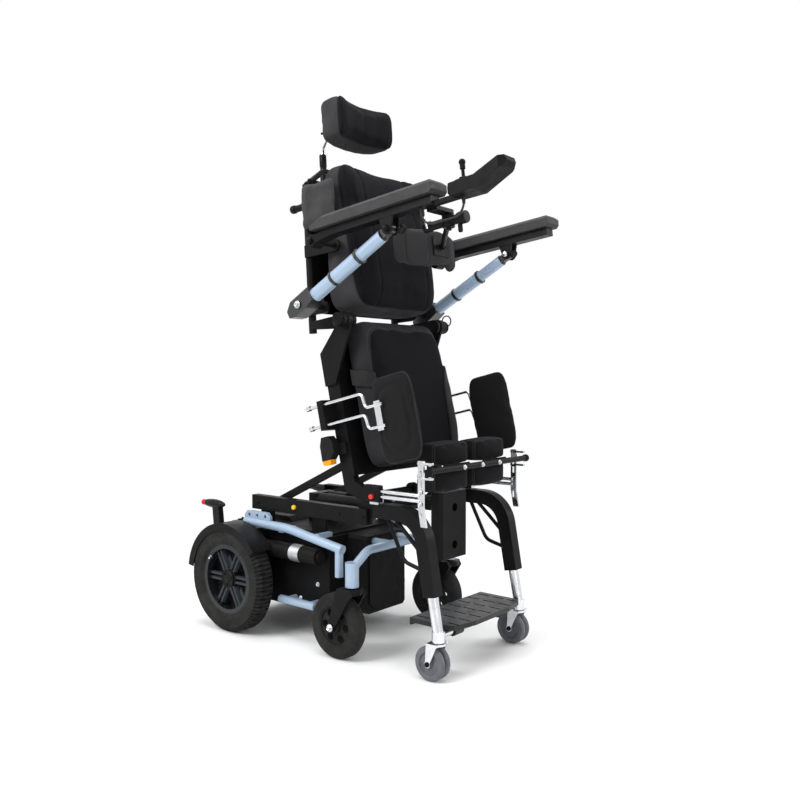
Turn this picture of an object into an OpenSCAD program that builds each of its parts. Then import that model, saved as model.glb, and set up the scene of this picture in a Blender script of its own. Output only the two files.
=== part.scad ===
// Powered standing chair in its raised pose: wheeled base, lifting seat, upright back, arm rests and front legs.
// X points forward, Y to the sitter's left, Z up, and the floor is Z = 0.

/* [Stance] */
// Knee hinge of the seat: forward and up
knee_at = [95, 498]; // [-300:1:900]
// Backward lean of the raised seat, degrees
seat_lean = 13; // [5:1:20]
// Hip hinge in seat axes: out from the seat and along it
hip_local = [47, 535]; // [10:1:700]
// Backward lean of the back, degrees
back_lean = 3.6; // [0:0.1:10]

/* [Fits] */
// Radial running gap of pins and axles
run_gap = 0.05; // [0.01:0.01:0.1]
// Gap between seated faces of one assembly
seat_gap = 0.1; // [0.02:0.01:0.3]
// Side gap between faces that turn past each other
side_gap = 0.5; // [0.2:0.1:1]
// Overlap where pieces of one solid are joined
join_lap = 1; // [0.5:0.5:2]
// Overrun of every cut
cut_over = 2; // [0.5:0.5:5]

/* [Drive wheels] */
// Axle place behind the origin
drive_x = -465; // [-600:1:-300]
// Tyre radius, which is also the axle height
drive_radius = 178; // [140:1:220]
// Wheel centre out from the mid-plane
drive_y = 276; // [230:1:330]
// Tyre width
tyre_w = 72; // [50:1:90]
// Tyre height above the rim
tyre_h = 62; // [40:1:90]
// Shoulder chamfer of the tyre
shoulder = 14; // [5:1:25]
// Tread groove width and depth
groove = [5, 5]; // [1:0.5:12]
// Tread grooves round the tyre
groove_count = 40; // [12:1:60]
// Rim wall, rim width and hub radius
rim_size = [7, 52, 34]; // [3:1:80]
// Paired spoke thickness, pair spacing and depth
spoke = [7, 17, 16]; // [3:1:40]
// Spoke pairs
spoke_pairs = 6; // [4:1:9]
// Axle radius
axle_r = 10; // [6:1:16]

/* [Mudguards] */
// Gap over the tyre, wall and outer lip depth
guard = [8, 3, 26]; // [2:1:60]
// Guard start and end above the front horizon, degrees
guard_angle = [36, 172]; // [0:1:200]
// Inner web: plate, tyre side gap and inward reach
guard_web = [2.5, 1.5, 44]; // [1:0.5:80]

/* [Rear lamps] */
// Lamp centre: back, out and up
lamp_at = [-578, 262, 418]; // [-700:1:500]
// Lamp length, width and height
lamp_size = [118, 44, 30]; // [10:1:200]
// Stalk depth, thickness and lean
lamp_stalk = [34, 20, 30]; // [5:1:60]
// Lens thickness and indicator radius
lamp_lens = [7, 9]; // [2:1:20]

/* [Base housing] */
// Housing back end, shoulder and front end
house_x = [-596, -102, -16]; // [-700:1:100]
// Half width behind and at the nose
house_half = [178, 98]; // [60:1:220]
// Floor and roof of the housing
house_z = [92, 344]; // [50:1:420]
// Corner chamfer of the housing
house_chamfer = 10; // [4:1:30]
// Lid inset, thickness and raised crown
house_lid = [14, 6, 24]; // [2:1:60]
// Nose panel thickness and border
nose_panel = [5, 12]; // [2:1:30]

/* [Motors] */
// Motor can front end, radius and height above floor
motor_can = [-118, 27, 284]; // [-300:1:400]
// Silver band start, length and rise
motor_band = [-236, 44, 1]; // [-400:1:120]
// Gear case half length, bottom, top
gear_case = [62, 128, 340]; // [30:1:420]
// Centre of the motor out from the mid-plane
motor_y = 207; // [206:1:208]

/* [Chassis frame] */
// Frame tube radius and place out from the mid-plane
frame_tube = [14.5, 220]; // [8:0.5:260]
// Upper tube: back end, its height, front corner, its height
upper_tube = [-458, 366, -34, 338]; // [-600:1:500]
// Rise of the upper tube's middle, and its bend radius
upper_bow = [10, 420]; // [0:1:600]
// Front post place and foot height
front_post = [-20, 238]; // [-200:1:400]
// Lower rail: back end, front end, height
lower_rail = [-286, -124, 126]; // [-400:1:300]
// Lug plate thickness, length, top height
lug_plate = [12, 126, 404]; // [4:1:460]
// Lug bolt radius, spacing and height
lug_hole = [6, 40, 390]; // [3:1:450]
// Frame feet: half length, reach in towards the mid-plane
frame_foot = [10, 158]; // [6:1:165]

/* [Front casters] */
// Swivel axis: forward and out
caster_at = [62, 250]; // [0:1:320]
// Trail, wheel radius and tyre width
caster_wheel = [56, 100, 46]; // [20:1:140]
// Swivel barrel radius, foot and top
barrel = [21, 226, 300]; // [14:1:360]
// Swivel stem radius
stem_r = 10; // [5:1:16]
// Fork arm thickness, side gap and crown height
fork_arm = [8, 5, 17]; // [3:1:40]
// Fork crown radius and gap under the barrel
fork_crown = [31, 4]; // [2:1:60]
// Caster axle radius
caster_axle = 7; // [4:1:12]
// Caster rim radius, hub radius, window radius
caster_rim = [64, 20, 13]; // [8:1:90]
// Windows in a caster rim
caster_windows = 6; // [3:1:9]
// Bow tube radius, height, corner and bend
bow_tube = [13.5, 326, 178, 58]; // [6:0.5:420]

/* [Lift] */
// Beam back end, front end, middle height
beam_x = [-462, 66, 428]; // [-600:1:500]
// Beam outer face, depth, wall and inner height
beam_size = [190, 28, 4, 40]; // [2:1:240]
// Beam post width and thickness
beam_post = [60, 10]; // [6:1:120]
// Post places along the beam
post_x = [-410, -160]; // [-560:1:60]
// Knee plate inner face, thickness and boss radius
knee_plate = [164, 12, 24]; // [6:1:220]
// Knee shaft radius
knee_shaft = 12; // [6:1:20]
// Crank length, arm width, thickness and pin radius
crank = [80, 22, 16, 6]; // [4:1:140]
// Half of the lift travel, degrees
half_travel = 38.5; // [20:0.5:45]
// Actuator radius, body back end, front end, rod radius
actuator = [23, -330, -96, 10]; // [-500:1:200]
// Actuator motor: radius, length, place beside the screw
actuator_motor = [25, 96, 52]; // [10:1:160]
// Yoke: cheek thickness, reach back, reach forward, height
yoke = [9, 50, 15, 46]; // [4:1:90]
// Yoke slot: side play and height
yoke_slot = [1.8, 36]; // [0.2:0.1:60]
// Strut hinge on the seat: out from the seat and along it
strut_hinge = [-128, 114]; // [-200:1:300]
// Strut roller rest place: forward, up
strut_foot = [-374, 432]; // [-500:1:600]
// Strut bar inner face, thickness, height
strut_bar = [142, 12, 24]; // [4:1:200]
// Strut roller radius, width and pin radius
strut_roller = [13, 17, 8]; // [4:1:40]

/* [Legs] */
// Leg middle out from the mid-plane
leg_y = 216; // [150:1:260]
// Leg top: back end, corner, height
leg_top = [132, 300, 462]; // [50:1:600]
// Leg foot of the black part: forward, up
leg_foot = [340, 236]; // [100:1:500]
// Leg section depth and width, and its bend
leg_bar = [44, 38, 92]; // [10:1:160]
// Chrome leg radius and its lower end: forward, up
leg_chrome = [16, 360, 134]; // [8:1:500]
// Leg swivel barrel radius and foot height
leg_barrel = [19, 112]; // [8:1:200]
// Leg wheel trail, radius, width and gap between the pair
leg_wheel = [20, 50, 18, 6]; // [2:1:80]
// Leg fork plate, stem radius, axle radius, arm width
leg_fork = [4, 7, 5, 30]; // [2:1:60]
// Cross tube of the yoke: forward, up, radius
leg_cross = [152, 468, 15]; // [8:1:600]
// Yoke side plate inner face, thickness and boss radius
yoke_plate = [179, 12, 22]; // [4:1:220]
// Shin box: front face, depth, width, height
shin_box = [262, 46, 140, 206]; // [10:1:300]
// Shin box top, edge chamfer, hole radius
shin_top = [506, 10, 13]; // [3:1:600]
// Brace rod radius and bend
leg_brace = [6, 40]; // [2:1:80]

/* [Footplate] */
// Footplate back edge, front edge and top
foot_x = [233, 402, 152]; // [80:1:500]
// Footplate half width and thickness
foot_size = [186, 14]; // [6:1:220]
// Hinge tube: forward, up, radius
foot_hinge = [352, 124, 10]; // [5:1:420]
// Hinge lug length, wall and place out
foot_lug = [40, 6, 120]; // [3:1:180]
// Tread slot length, width and depth
foot_slot = [44, 7, 4]; // [1:1:80]
// Tread slots across and along
foot_slots = [7, 3]; // [2:1:10]
// Front step depth and cut
foot_step = [46, 96]; // [5:1:160]

/* [Knee support] */
// Support rails: back end, up, radius, spacing
knee_rail = [120, 516, 6, 16]; // [3:1:600]
// Rail plane out from the mid-plane
knee_rail_y = 246; // [200:1:300]
// Slotted bracket: forward, depth, thickness
knee_bracket = [322, 20, 6]; // [3:1:420]
// Bracket foot and top
knee_bracket_z = [436, 622]; // [300:1:800]
// Knee bar: forward, up, radius
knee_bar_at = [352, 594, 9]; // [4:1:700]
// Knee pad depth, width, height
knee_pad = [78, 192, 66]; // [20:1:260]
// Gap between the upper and lower pads, and the left and right ones
knee_pad_gap = [12, 10]; // [2:1:60]
// Pad carrier plate thickness and height
knee_plate_size = [5, 22]; // [2:1:160]

/* [Seat] */
// Rail inner face, width
rail_y = [200, 25]; // [10:1:260]
// Rail back and front faces, out from the knee hinge
rail_n = [-80, -36]; // [-140:1:0]
// Rail start and end along the seat
rail_t = [30, 460]; // [0:1:600]
// Rail wall
rail_wall = 4; // [2:1:8]
// Seat pan thickness, start, end
seat_pan = [6, 70, 522]; // [3:1:600]
// Seat cushion depth, width, start, end
seat_pad = [108, 424, 72, 546]; // [30:1:600]
// Hip plate thickness and boss radius
hip_plate = [9, 26]; // [4:1:60]
// Lamp out from the seat, along it, and out from the mid-plane
seat_lamp_at = [-88, 158, 252]; // [-160:1:320]
// Lamp depth, width and length
seat_lamp_size = [54, 28, 86]; // [10:1:160]
// Lamp lens length
seat_lens = 14; // [4:1:30]

/* [Hip supports] */
// Rod radius and plane out from the mid-plane
hip_rod = [5, 274]; // [3:0.5:320]
// Rod back end, corner and front end, out from the seat
hip_rod_n = [-120, 96, 168]; // [-160:1:260]
// Upper and lower rod places along the seat
hip_rod_t = [296, 233]; // [100:1:400]
// Drop of the rod's step, and its bend
hip_rod_step = [44, 14]; // [5:1:90]
// Bracket out from the seat, depth and edge
hip_bracket = [-70, 22, 14]; // [-120:1:60]
// Hip pad thickness, depth, height
hip_pad = [34, 172, 264]; // [20:1:340]
// Hip pad centre out from the seat, along it, and inner face
hip_pad_at = [192, 204, 230]; // [80:1:300]
// Pad clamp: depth, thickness, edge
hip_clamp = [30, 5, 12]; // [3:1:60]
// End cap radius and length
hip_cap = [8, 14]; // [4:1:30]

/* [Back] */
// Post place behind the hip and out from the mid-plane
post_at = [-168, 205]; // [-260:1:260]
// Post radius, foot and top above the hip
post_size = [12.5, -24, 452]; // [-80:0.5:600]
// Heights of the cross bars above the hip
cross_z = [70, 420]; // [20:1:500]
// Cross bar radius and top bow height
cross_bar = [9, 60]; // [4:1:120]
// Back panel thickness, foot and top
back_panel = [4, 40, 470]; // [2:1:600]
// Hip lug inner face, thickness and radius
back_lug = [208, 10, 24]; // [4:1:260]
// Carrier disc thickness, knob radius and knob length
carrier = [9, 22, 17]; // [4:1:60]
// Back cushion: back face, depth, width
back_pad = [-150, 162, 436]; // [-220:1:460]
// Back cushion foot and top above the hip
back_pad_z = [32, 508]; // [10:1:700]
// Side wing: thickness, back end, front end
wing_x = [16, -176, -20]; // [-240:1:140]
// Wing foot and top above the hip
wing_z = [300, 445]; // [150:1:600]
// Push stub: height above the hip, radius, reach
push_stub = [384, 11, 54]; // [6:1:500]

/* [Headrest] */
// Stalk behind the hip, radius
head_stalk = [-286, 8]; // [-340:1:20]
// Stalk foot and top above the hip
head_stalk_z = [396, 640]; // [350:1:760]
// Clamp block: depth, width, height
head_clamp = [34, 40, 36]; // [14:1:70]
// Headrest pad: depth, width, height
head_pad = [100, 286, 138]; // [40:1:340]
// Pad centre behind and above the hip
head_pad_at = [-146, 678]; // [-260:1:800]
// Tilt ball radius and neck radius
head_ball = [17, 9]; // [6:1:30]
// Side wrap of the pad
head_wrap = 34; // [0:1:70]

/* [Arm rests] */
// Arm hinge behind and above the hip
arm_at = [-38, 235]; // [-120:1:360]
// Arm middle out from the mid-plane
arm_y = 308; // [250:1:360]
// Upward slope of the arm from square, degrees
arm_rise = 3; // [-5:0.5:12]
// Arm beam: corner, front end, top
arm_beam = [84, 452, 24]; // [10:1:560]
// Arm beam width and depth
arm_bar = [40, 24]; // [8:1:70]
// Arm pad width, thickness, front overhang
arm_pad = [72, 36, 16]; // [4:1:120]
// Arm hinge boss radius and pin radius
arm_boss = [19, 8]; // [4:1:40]
// Strut foot hinge behind and above the hip
strut_low = [-97, 51]; // [-200:1:200]
// Strut head hinge on the arm: along it and above it
strut_high = [293, -30]; // [-90:1:400]
// Strut tube radius, rod radius, tube length from the hinge
strut_tube = [21, 18.5, 262]; // [6:0.5:360]
// Strut housing: reach back, reach forward, height, width
strut_house = [52, 56, 50, 52]; // [20:1:110]
// Strut collar radius, length, first place
strut_collar = [24, 8, 142]; // [4:1:300]
// Eye radius, thickness and side gap in the clevis
strut_eye = [17, 20, 2]; // [1:1:40]
// Clevis cheek thickness and bolt head radius
strut_cheek = [6, 10]; // [3:1:24]

/* [Controller] */
// Controller start and end along the arm
ctrl_x = [512, 692]; // [420:1:820]
// Controller width, waist height, nose height
ctrl_size = [74, 34, 26]; // [14:1:120]
// Controller floor above the arm line, and nose rise
ctrl_z = [-2, 56]; // [-40:1:120]
// Joystick place along the arm
stick_x = 548; // [535:1:565]
// Boot radius, stick radius, knob radius
stick_r = [17, 4.5, 9]; // [3:0.5:30]
// Stick height
stick_h = 62; // [40:1:110]
// Gap round the two balls of the stick
ball_gap = 0.2; // [0.1:0.1:0.4]
// Key radius and stroke
ctrl_key = [5.5, 2]; // [1:0.5:9]
// Mount bar depth and height
ctrl_mount = [20, 12]; // [5:1:40]
// Cable radius
cable_r = 3; // [1.5:0.5:6]

/* [Chest support] */
// Swing hinge along the arm, above it, in from the arm middle
chest_hinge = [430, -12, 84]; // [-60:1:520]
// Chest pad centre along the arm, above it
chest_at = [214, -30]; // [-90:1:420]
// Chest pad depth, width, height
chest_pad_size = [44, 316, 118]; // [20:1:460]
// Rearward wrap of the pad's sides
chest_wrap = 52; // [0:1:120]
// Chest bar radius, clamp radius, clamp height
chest_bar = [8, 17, 34]; // [4:1:60]
// Hinge pin radius
chest_pin = 7; // [4:1:14]

/* [Hidden] */
$fn = 48;

// Colours
blue = [0.58, 0.70, 0.84];
black = [0.10, 0.10, 0.11];
cloth = [0.12, 0.12, 0.13];
chrome = [0.78, 0.80, 0.82];
grey = [0.42, 0.44, 0.47];

// Hip hinge in the shared frame
hip_at = [
  knee_at[0] + hip_local[0] * cos(seat_lean) - hip_local[1] * sin(seat_lean),
  knee_at[1] + hip_local[0] * sin(seat_lean) + hip_local[1] * cos(seat_lean)
];
// Crank pin in the raised pose, and the level of the lift screw
crank_angle = -90 - half_travel;
crank_pin = knee_at + crank[0] * [cos(crank_angle), sin(crank_angle)];
screw_z = knee_at[1] - crank[0] * (1 + cos(half_travel)) / 2;
// Arm strut line in back axes
strut_top = arm_at + [
  strut_high[0] * cos(arm_rise) - strut_high[1] * sin(arm_rise),
  strut_high[0] * sin(arm_rise) + strut_high[1] * cos(arm_rise)
];
strut_run = strut_top - strut_low;
strut_length = norm(strut_run);
strut_angle = atan2(strut_run[1], strut_run[0]);
// Strut hinge of the lift in the shared frame
lift_hinge = [
  knee_at[0] + strut_hinge[0] * cos(seat_lean) - strut_hinge[1] * sin(seat_lean),
  knee_at[1] + strut_hinge[0] * sin(seat_lean) + strut_hinge[1] * cos(seat_lean)
];
rim_r = drive_radius - tyre_h;
fork_z = barrel[1] - fork_crown[1];
rail_out = rail_y[0] + rail_y[1];
house_side = house_half[0] + seat_gap;
web_face = drive_y - tyre_w / 2 - guard_web[0] - guard_web[1];
case_out = web_face - seat_gap;
lamp_steps = 9;
pad_form = [3.2, 5, 0.28];
box_form = [5, 9, 0.14];
oval_form = [2.8, 3, 0.42];
bend_share = 0.994;
bend_lap_share = 0.05;

// Direction from one outline point to the next, degrees
function heading(a, b) = atan2(b[1] - a[1], b[0] - a[0]);
function wrapped(t) = t > 180 ? t - 360 : t < -180 ? t + 360 : t;
function turn_at(p, i) = wrapped(heading(p[i], p[i + 1]) - heading(p[i - 1], p[i]));
function trim_at(p, i, bend) =
  i == 0 || i == len(p) - 1 ? 0 : bend * tan(abs(turn_at(p, i)) / 2);
function signed_power(c, e) = sign(c) * pow(abs(c), e);

module pair() {
  children();
  mirror([0, 1, 0]) children();
}

// Side outline in X and Z, thick along Y from y
module slab(points, y, width) {
  translate([0, y + width, 0])
    rotate([90, 0, 0])
      linear_extrude(height = width)
        polygon(points);
}

// Cylinder along Y from y, at a place in X and Z
module across(at, y, width, r) {
  translate([at[0], y, at[1]])
    rotate([-90, 0, 0])
      cylinder(h = width, r = r);
}

// Cylinder along X from x, at a place in Y and Z
module lengthwise(at, x, width, r) {
  translate([x, at[0], at[1]])
    rotate([0, 90, 0])
      cylinder(h = width, r = r);
}

module rod(a, b, r) {
  d = b - a;
  translate(a)
    rotate([0, acos(d[2] / norm(d)), atan2(d[1], d[0])])
      cylinder(h = norm(d), r = r);
}

module block(low, high) {
  translate(low)
    cube(high - low);
}

module section(size) {
  if (is_list(size)) square(size, center = true);
  else circle(r = size);
}

// Bar or tube along flat points, with true bends that start a hair inside the straights
module bent(p, size, bend) {
  last = len(p) - 1;
  lap = bend_lap_share * (is_list(size) ? min(size) : size);
  for (i = [0:last - 1]) {
    before = trim_at(p, i, bend) - (i > 0 ? lap : 0);
    after = trim_at(p, i + 1, bend) - (i + 1 < last ? lap : 0);
    translate([p[i][0], p[i][1], 0])
      rotate([0, 0, heading(p[i], p[i + 1])])
        translate([before, 0, 0])
          rotate([90, 0, 90])
            linear_extrude(height = norm(p[i + 1] - p[i]) - before - after)
              section(size);
  }
  if (last > 1)
    for (i = [1:last - 1]) {
      a = heading(p[i - 1], p[i]);
      t = turn_at(p, i);
      begin = p[i] - trim_at(p, i, bend) * [cos(a), sin(a)];
      centre = begin + sign(t) * bend * [-sin(a), cos(a)];
      translate([centre[0], centre[1], 0])
        rotate([0, 0, t > 0 ? a - 90 : a + 90 + t])
          rotate_extrude(angle = abs(t))
            translate([bend, 0])
              section(size * bend_share);
    }
}

module side_plane(y) {
  translate([0, y, 0]) rotate([90, 0, 0]) children();
}

module front_plane(x) {
  translate([x, 0, 0]) rotate([90, 0, 90]) children();
}

// Wheel axes on the right: Z of the wheel points outward
module wheel_axes(x, y, z) {
  translate([x, -y, z]) rotate([90, 0, 0]) children();
}

module seat_axes() translate([knee_at[0], 0, knee_at[1]]) rotate([0, -seat_lean, 0]) children();
module back_axes() translate([hip_at[0], 0, hip_at[1]]) rotate([0, -back_lean, 0]) children();

module arm_axes() {
  back_axes()
    translate([arm_at[0], 0, arm_at[1]])
      rotate([0, -arm_rise, 0])
        children();
}

module strut_axes() {
  back_axes()
    translate([strut_low[0], 0, strut_low[1]])
      rotate([0, -strut_angle, 0])
        children();
}

// One point of a soft pad: angle a round it, level v along it
function pad_point(size, wrap, crown, channel, taper, seams, form, a, v) =
  let (
    end = pow(1 - pow(abs(v), form[1]), 1 / form[1]),
    front = max(0, cos(a)),
    fold = [for (s = seams) exp(-pow((v - s) * 9, 2))],
    dip = len(seams) == 0 ? 0 : max(fold),
    waist = 1 - 0.05 * pow(abs(sin(a)), 8),
    y = size[1] / 2 * signed_power(sin(a), 2 / form[0]) * waist * (1 - 0.1 * (1 - end)),
    x = size[0] / 2 * signed_power(cos(a), 2 / form[0]) * end * (1 + taper * v * front)
  )
  [
    x + front * end * (crown * (1 - v * v) - channel * dip) + wrap * pow(2 * y / size[1], 2),
    y * (1 - form[2] + form[2] * end),
    size[2] / 2 * v
  ];

// Crowned pad with drawn-in sides and stitched channels across its front
module soft_pad(size, wrap, crown, channel, taper, seams, rings, around, form = pad_form) {
  levels = [for (i = [0:rings - 1]) let (t = 2 * i / (rings - 1) - 1) t * (1.49 - 0.493 * t * t)];
  points = [
    for (v = levels)
      for (k = [0:around - 1])
        pad_point(size, wrap, crown, channel, taper, seams, form, 360 * k / around, v)
  ];
  sides = [
    for (i = [0:rings - 2])
      for (k = [0:around - 1])
        let (a = i * around + k, b = i * around + (k + 1) % around)
          for (f = [[a, b + around, a + around], [a, b, b + around]]) f
  ];
  foot = [for (k = [0:around - 1]) around - 1 - k];
  head = [for (k = [0:around - 1]) (rings - 1) * around + k];
  polyhedron(points = points, faces = concat(sides, [foot, head]));
}

// Tyre with chamfered shoulders and cross grooves in each shoulder
module drive_tyre() {
  half = tyre_w / 2;
  bead = rim_size[1] / 2;
  color(black)
    wheel_axes(drive_x, drive_y, drive_radius)
      difference() {
        rotate_extrude($fn = 96)
          polygon([
            [rim_r, -bead], [rim_r + shoulder, -half], [drive_radius - shoulder, -half],
            [drive_radius, shoulder - half], [drive_radius, half - shoulder],
            [drive_radius - shoulder, half], [rim_r + shoulder, half], [rim_r, bead]
          ]);
        for (i = [0:groove_count - 1])
          rotate([0, 0, 360 * i / groove_count])
            for (side = [-1, 1])
              rotate([0, 0, 90 * (1 + side) / groove_count])
                translate([drive_radius - groove[1], -groove[0] / 2, side > 0 ? shoulder / 2 : -half - cut_over])
                  cube([groove[1] + cut_over, groove[0], half - shoulder / 2 + cut_over]);
      }
}

// Rim barrel, hub and paired spokes on the axle
module drive_rim() {
  outer = rim_r - seat_gap;
  inner = outer - rim_size[0];
  half = rim_size[1] / 2;
  hub_in = drive_y - case_out - guard_web[0];
  color(black)
    wheel_axes(drive_x, drive_y, drive_radius)
      difference() {
        union() {
          rotate_extrude($fn = 96)
            polygon([[inner, -half], [outer, -half], [outer, half], [inner - rim_size[0], half]]);
          translate([0, 0, -hub_in])
            cylinder(h = hub_in + spoke[2], r = rim_size[2]);
          cylinder(h = half - spoke[0], r = rim_size[2] - spoke[0]);
          translate([0, 0, -half + rim_size[0]])
            cylinder(h = spoke[0] / 2, r = inner + join_lap);
          for (i = [0:spoke_pairs - 1])
            for (side = [-1, 1])
              rotate([0, 0, 360 * i / spoke_pairs])
                translate([rim_size[2] - rim_size[0], side * spoke[1] / 2 - spoke[0] / 2, 0])
                  cube([inner - rim_size[2] + rim_size[0] + rim_size[0] / 2, spoke[0], spoke[2]]);
        }
        translate([0, 0, -hub_in - cut_over])
          cylinder(h = hub_in + cut_over + axle_r, r = axle_r + run_gap);
      }
}

// Curved guard with an outer lip and an inner web
module mudguard() {
  inner = drive_radius + guard[0];
  outer = inner + guard[1];
  web_in = -tyre_w / 2 - guard_web[1];
  lip_in = tyre_w / 2 + guard_web[1];
  wheel_axes(drive_x, drive_y, drive_radius)
    rotate([0, 0, guard_angle[0]])
      rotate_extrude(angle = guard_angle[1] - guard_angle[0], $fn = 96)
        polygon([
          [outer - guard_web[2], web_in - guard_web[0]], [outer, web_in - guard_web[0]],
          [outer, lip_in + guard[1]], [outer - guard[2], lip_in + guard[1]],
          [outer - guard[2], lip_in], [inner, lip_in], [inner, web_in],
          [outer - guard_web[2], web_in]
        ]);
}

module mudguards() color(black) pair() mudguard();

// Drop-shaped tail lamp on a leaning stalk
module rear_lamp() {
  half = lamp_size[0] / 2;
  r = lamp_size[2] / 2;
  translate([lamp_at[0], -lamp_at[1], lamp_at[2]])
    rotate([0, 90, 0])
      rotate_extrude()
        polygon(concat(
          [[0, -half], [r * sin(40), -half]],
          [for (i = [0:lamp_steps]) let (a = 40 + 140 * i / lamp_steps) [r * sin(a), -half * cos(a)]]
        ));
  difference() {
    slab([
      [lamp_at[0], lamp_at[2]], [lamp_at[0] + lamp_stalk[0], lamp_at[2]],
      [lamp_at[0] + lamp_stalk[0] + lamp_stalk[2], drive_radius],
      [lamp_at[0] + lamp_stalk[2], drive_radius]
    ], -lamp_at[1] - lamp_stalk[1] / 2, lamp_stalk[1]);
    across([drive_x, drive_radius], -lamp_at[1] - lamp_stalk[1], 2 * lamp_stalk[1],
      drive_radius + guard[0] + guard[1] + seat_gap, $fn = 96);
  }
  translate([lamp_at[0] + lamp_stalk[2] / 2 - lamp_lens[0], -lamp_at[1], lamp_at[2] - lamp_size[2]])
    rotate([0, 90, 0])
      cylinder(h = lamp_lens[0] * 2, r = lamp_lens[1]);
}

module rear_lamps() color(black) pair() rear_lamp();

function chamfered(half, low, high, c) = [
  [-half + c, low], [half - c, low], [half, low + c], [half, high - c],
  [half - c, high], [-half + c, high], [-half, high - c], [-half, low + c]
];

// Battery housing with its lid, rear hump and plain nose panel
module battery_box() {
  lid_half = house_half[0] - house_chamfer - house_lid[0];
  color(black) {
    front_plane(house_x[0])
      linear_extrude(height = house_x[1] - house_x[0])
        polygon(chamfered(house_half[0], house_z[0], house_z[1], house_chamfer));
    front_plane(house_x[1])
      linear_extrude(height = house_x[2] - house_x[1])
        polygon(chamfered(house_half[1], house_z[0], house_z[1], house_chamfer));
    front_plane(house_x[2])
      linear_extrude(height = nose_panel[0])
        polygon(chamfered(house_half[1] - nose_panel[1], house_z[0] + nose_panel[1],
          house_z[1] - 3 * nose_panel[1], 2 * nose_panel[1]));
    block([house_x[0] + house_lid[0], -lid_half, house_z[1]],
      [house_x[1] - house_lid[0], lid_half, house_z[1] + house_lid[1]]);
    slab([
      [house_x[0] + house_lid[0], house_z[1]], [actuator[1] - 2 * actuator[0], house_z[1]],
      [actuator[1] - 3 * actuator[0], house_z[1] + house_lid[2]],
      [house_x[0] + 3 * house_lid[0], house_z[1] + house_lid[2]]
    ], -lid_half / 2, lid_half);
  }
}

// Gear case, axle stub and motor can of one side
module motor() {
  low = gear_case[1];
  high = gear_case[2];
  left = drive_x - gear_case[0];
  right = drive_x + gear_case[0];
  c = gear_case[0] / 3;
  slab([
    [left + c, low], [right - c, low], [right, low + c], [right, high - c],
    [right - c, high], [left + c, high], [left, high - c], [left, low + c]
  ], -case_out, case_out - house_side);
  across([drive_x, drive_radius], -drive_y - axle_r / 2, drive_y + axle_r / 2 - case_out + axle_r, axle_r);
  lengthwise([-motor_y, motor_can[2]], right - c, motor_can[0] - right + c, motor_can[1]);
  lengthwise([-motor_y, motor_can[2]], motor_band[0], motor_band[1], motor_can[1] + motor_band[2]);
  lengthwise([-motor_y, motor_can[2]], motor_can[0], motor_can[1] / 3, motor_can[1] * 2 / 3);
}

module motors() color(black) pair() motor();

function upper_z(x) =
  upper_tube[1] + (upper_tube[3] - upper_tube[1]) * (x - upper_tube[0]) / (upper_tube[2] - upper_tube[0]);

// Side frame: bowed upper tube, front post, lower rail, feet and bolt lugs
module chassis_frame() {
  y = frame_tube[1];
  r = frame_tube[0];
  middle = (upper_tube[0] + upper_tube[2]) / 2;
  foot_places = [(post_x[0] + post_x[1]) / 2, house_x[1] - frame_foot[0] - house_lid[1]];
  difference() {
    union() {
      side_plane(-y)
        bent([
          [upper_tube[0], upper_tube[1]], [middle, upper_z(middle) + upper_bow[0]],
          [upper_tube[2] + 2 * r, upper_tube[3] - r]
        ], r, upper_bow[1]);
      translate([front_post[0], -y, front_post[1]])
        cylinder(h = upper_tube[3] - front_post[1] - r / 2, r = r * 0.9);
      lengthwise([-y, lower_rail[2]], lower_rail[0], lower_rail[1] - lower_rail[0], r * 0.9);
      for (x = [lower_rail[0] + 2 * r, lower_rail[1] - 2 * r])
        across([x, lower_rail[2]], -y, y - house_side, r * 0.7);
      for (x = foot_places)
        block([x - frame_foot[0], -y, house_z[1] + seat_gap],
          [x + frame_foot[0], -frame_foot[1], house_z[1] + r]);
      slab([
        [upper_tube[0], upper_tube[1]], [upper_tube[0] + lug_plate[1], upper_tube[1]],
        [upper_tube[0] + lug_plate[1], lug_plate[2] - r], [upper_tube[0] + lug_plate[1] - r, lug_plate[2]],
        [upper_tube[0] + r, lug_plate[2]], [upper_tube[0], lug_plate[2] - r]
      ], -y - lug_plate[0] / 2, lug_plate[0]);
    }
    for (i = [0:2])
      across([upper_tube[0] + lug_plate[1] / 2 + (i - 1) * lug_hole[1], lug_hole[2]],
        -y - lug_plate[0], 2 * lug_plate[0], lug_hole[0]);
  }
}

module chassis_frame_right() color(blue) chassis_frame();
module chassis_frame_left() color(blue) mirror([0, 1, 0]) chassis_frame();

// Front bow that carries both swivel barrels
module front_bow() {
  x = caster_at[0];
  y = caster_at[1];
  top = bow_tube[1];
  drop = barrel[2] - barrel[0];
  color(blue)
    difference() {
      union() {
        front_plane(x)
          bent([[-y, drop], [-bow_tube[2], top], [bow_tube[2], top], [y, drop]], bow_tube[0], bow_tube[3]);
        for (side = [-1, 1]) {
          translate([x, side * y, barrel[1]])
            cylinder(h = barrel[2] - barrel[1], r = barrel[0]);
          lengthwise([side * house_half[1] * 0.62, top], house_x[2] + seat_gap, x - house_x[2], bow_tube[0] * 0.85);
        }
      }
      for (side = [-1, 1])
        translate([x, side * y, barrel[1] - cut_over])
          cylinder(h = barrel[2] - barrel[1] - stem_r + cut_over, r = stem_r + run_gap);
    }
}

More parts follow.
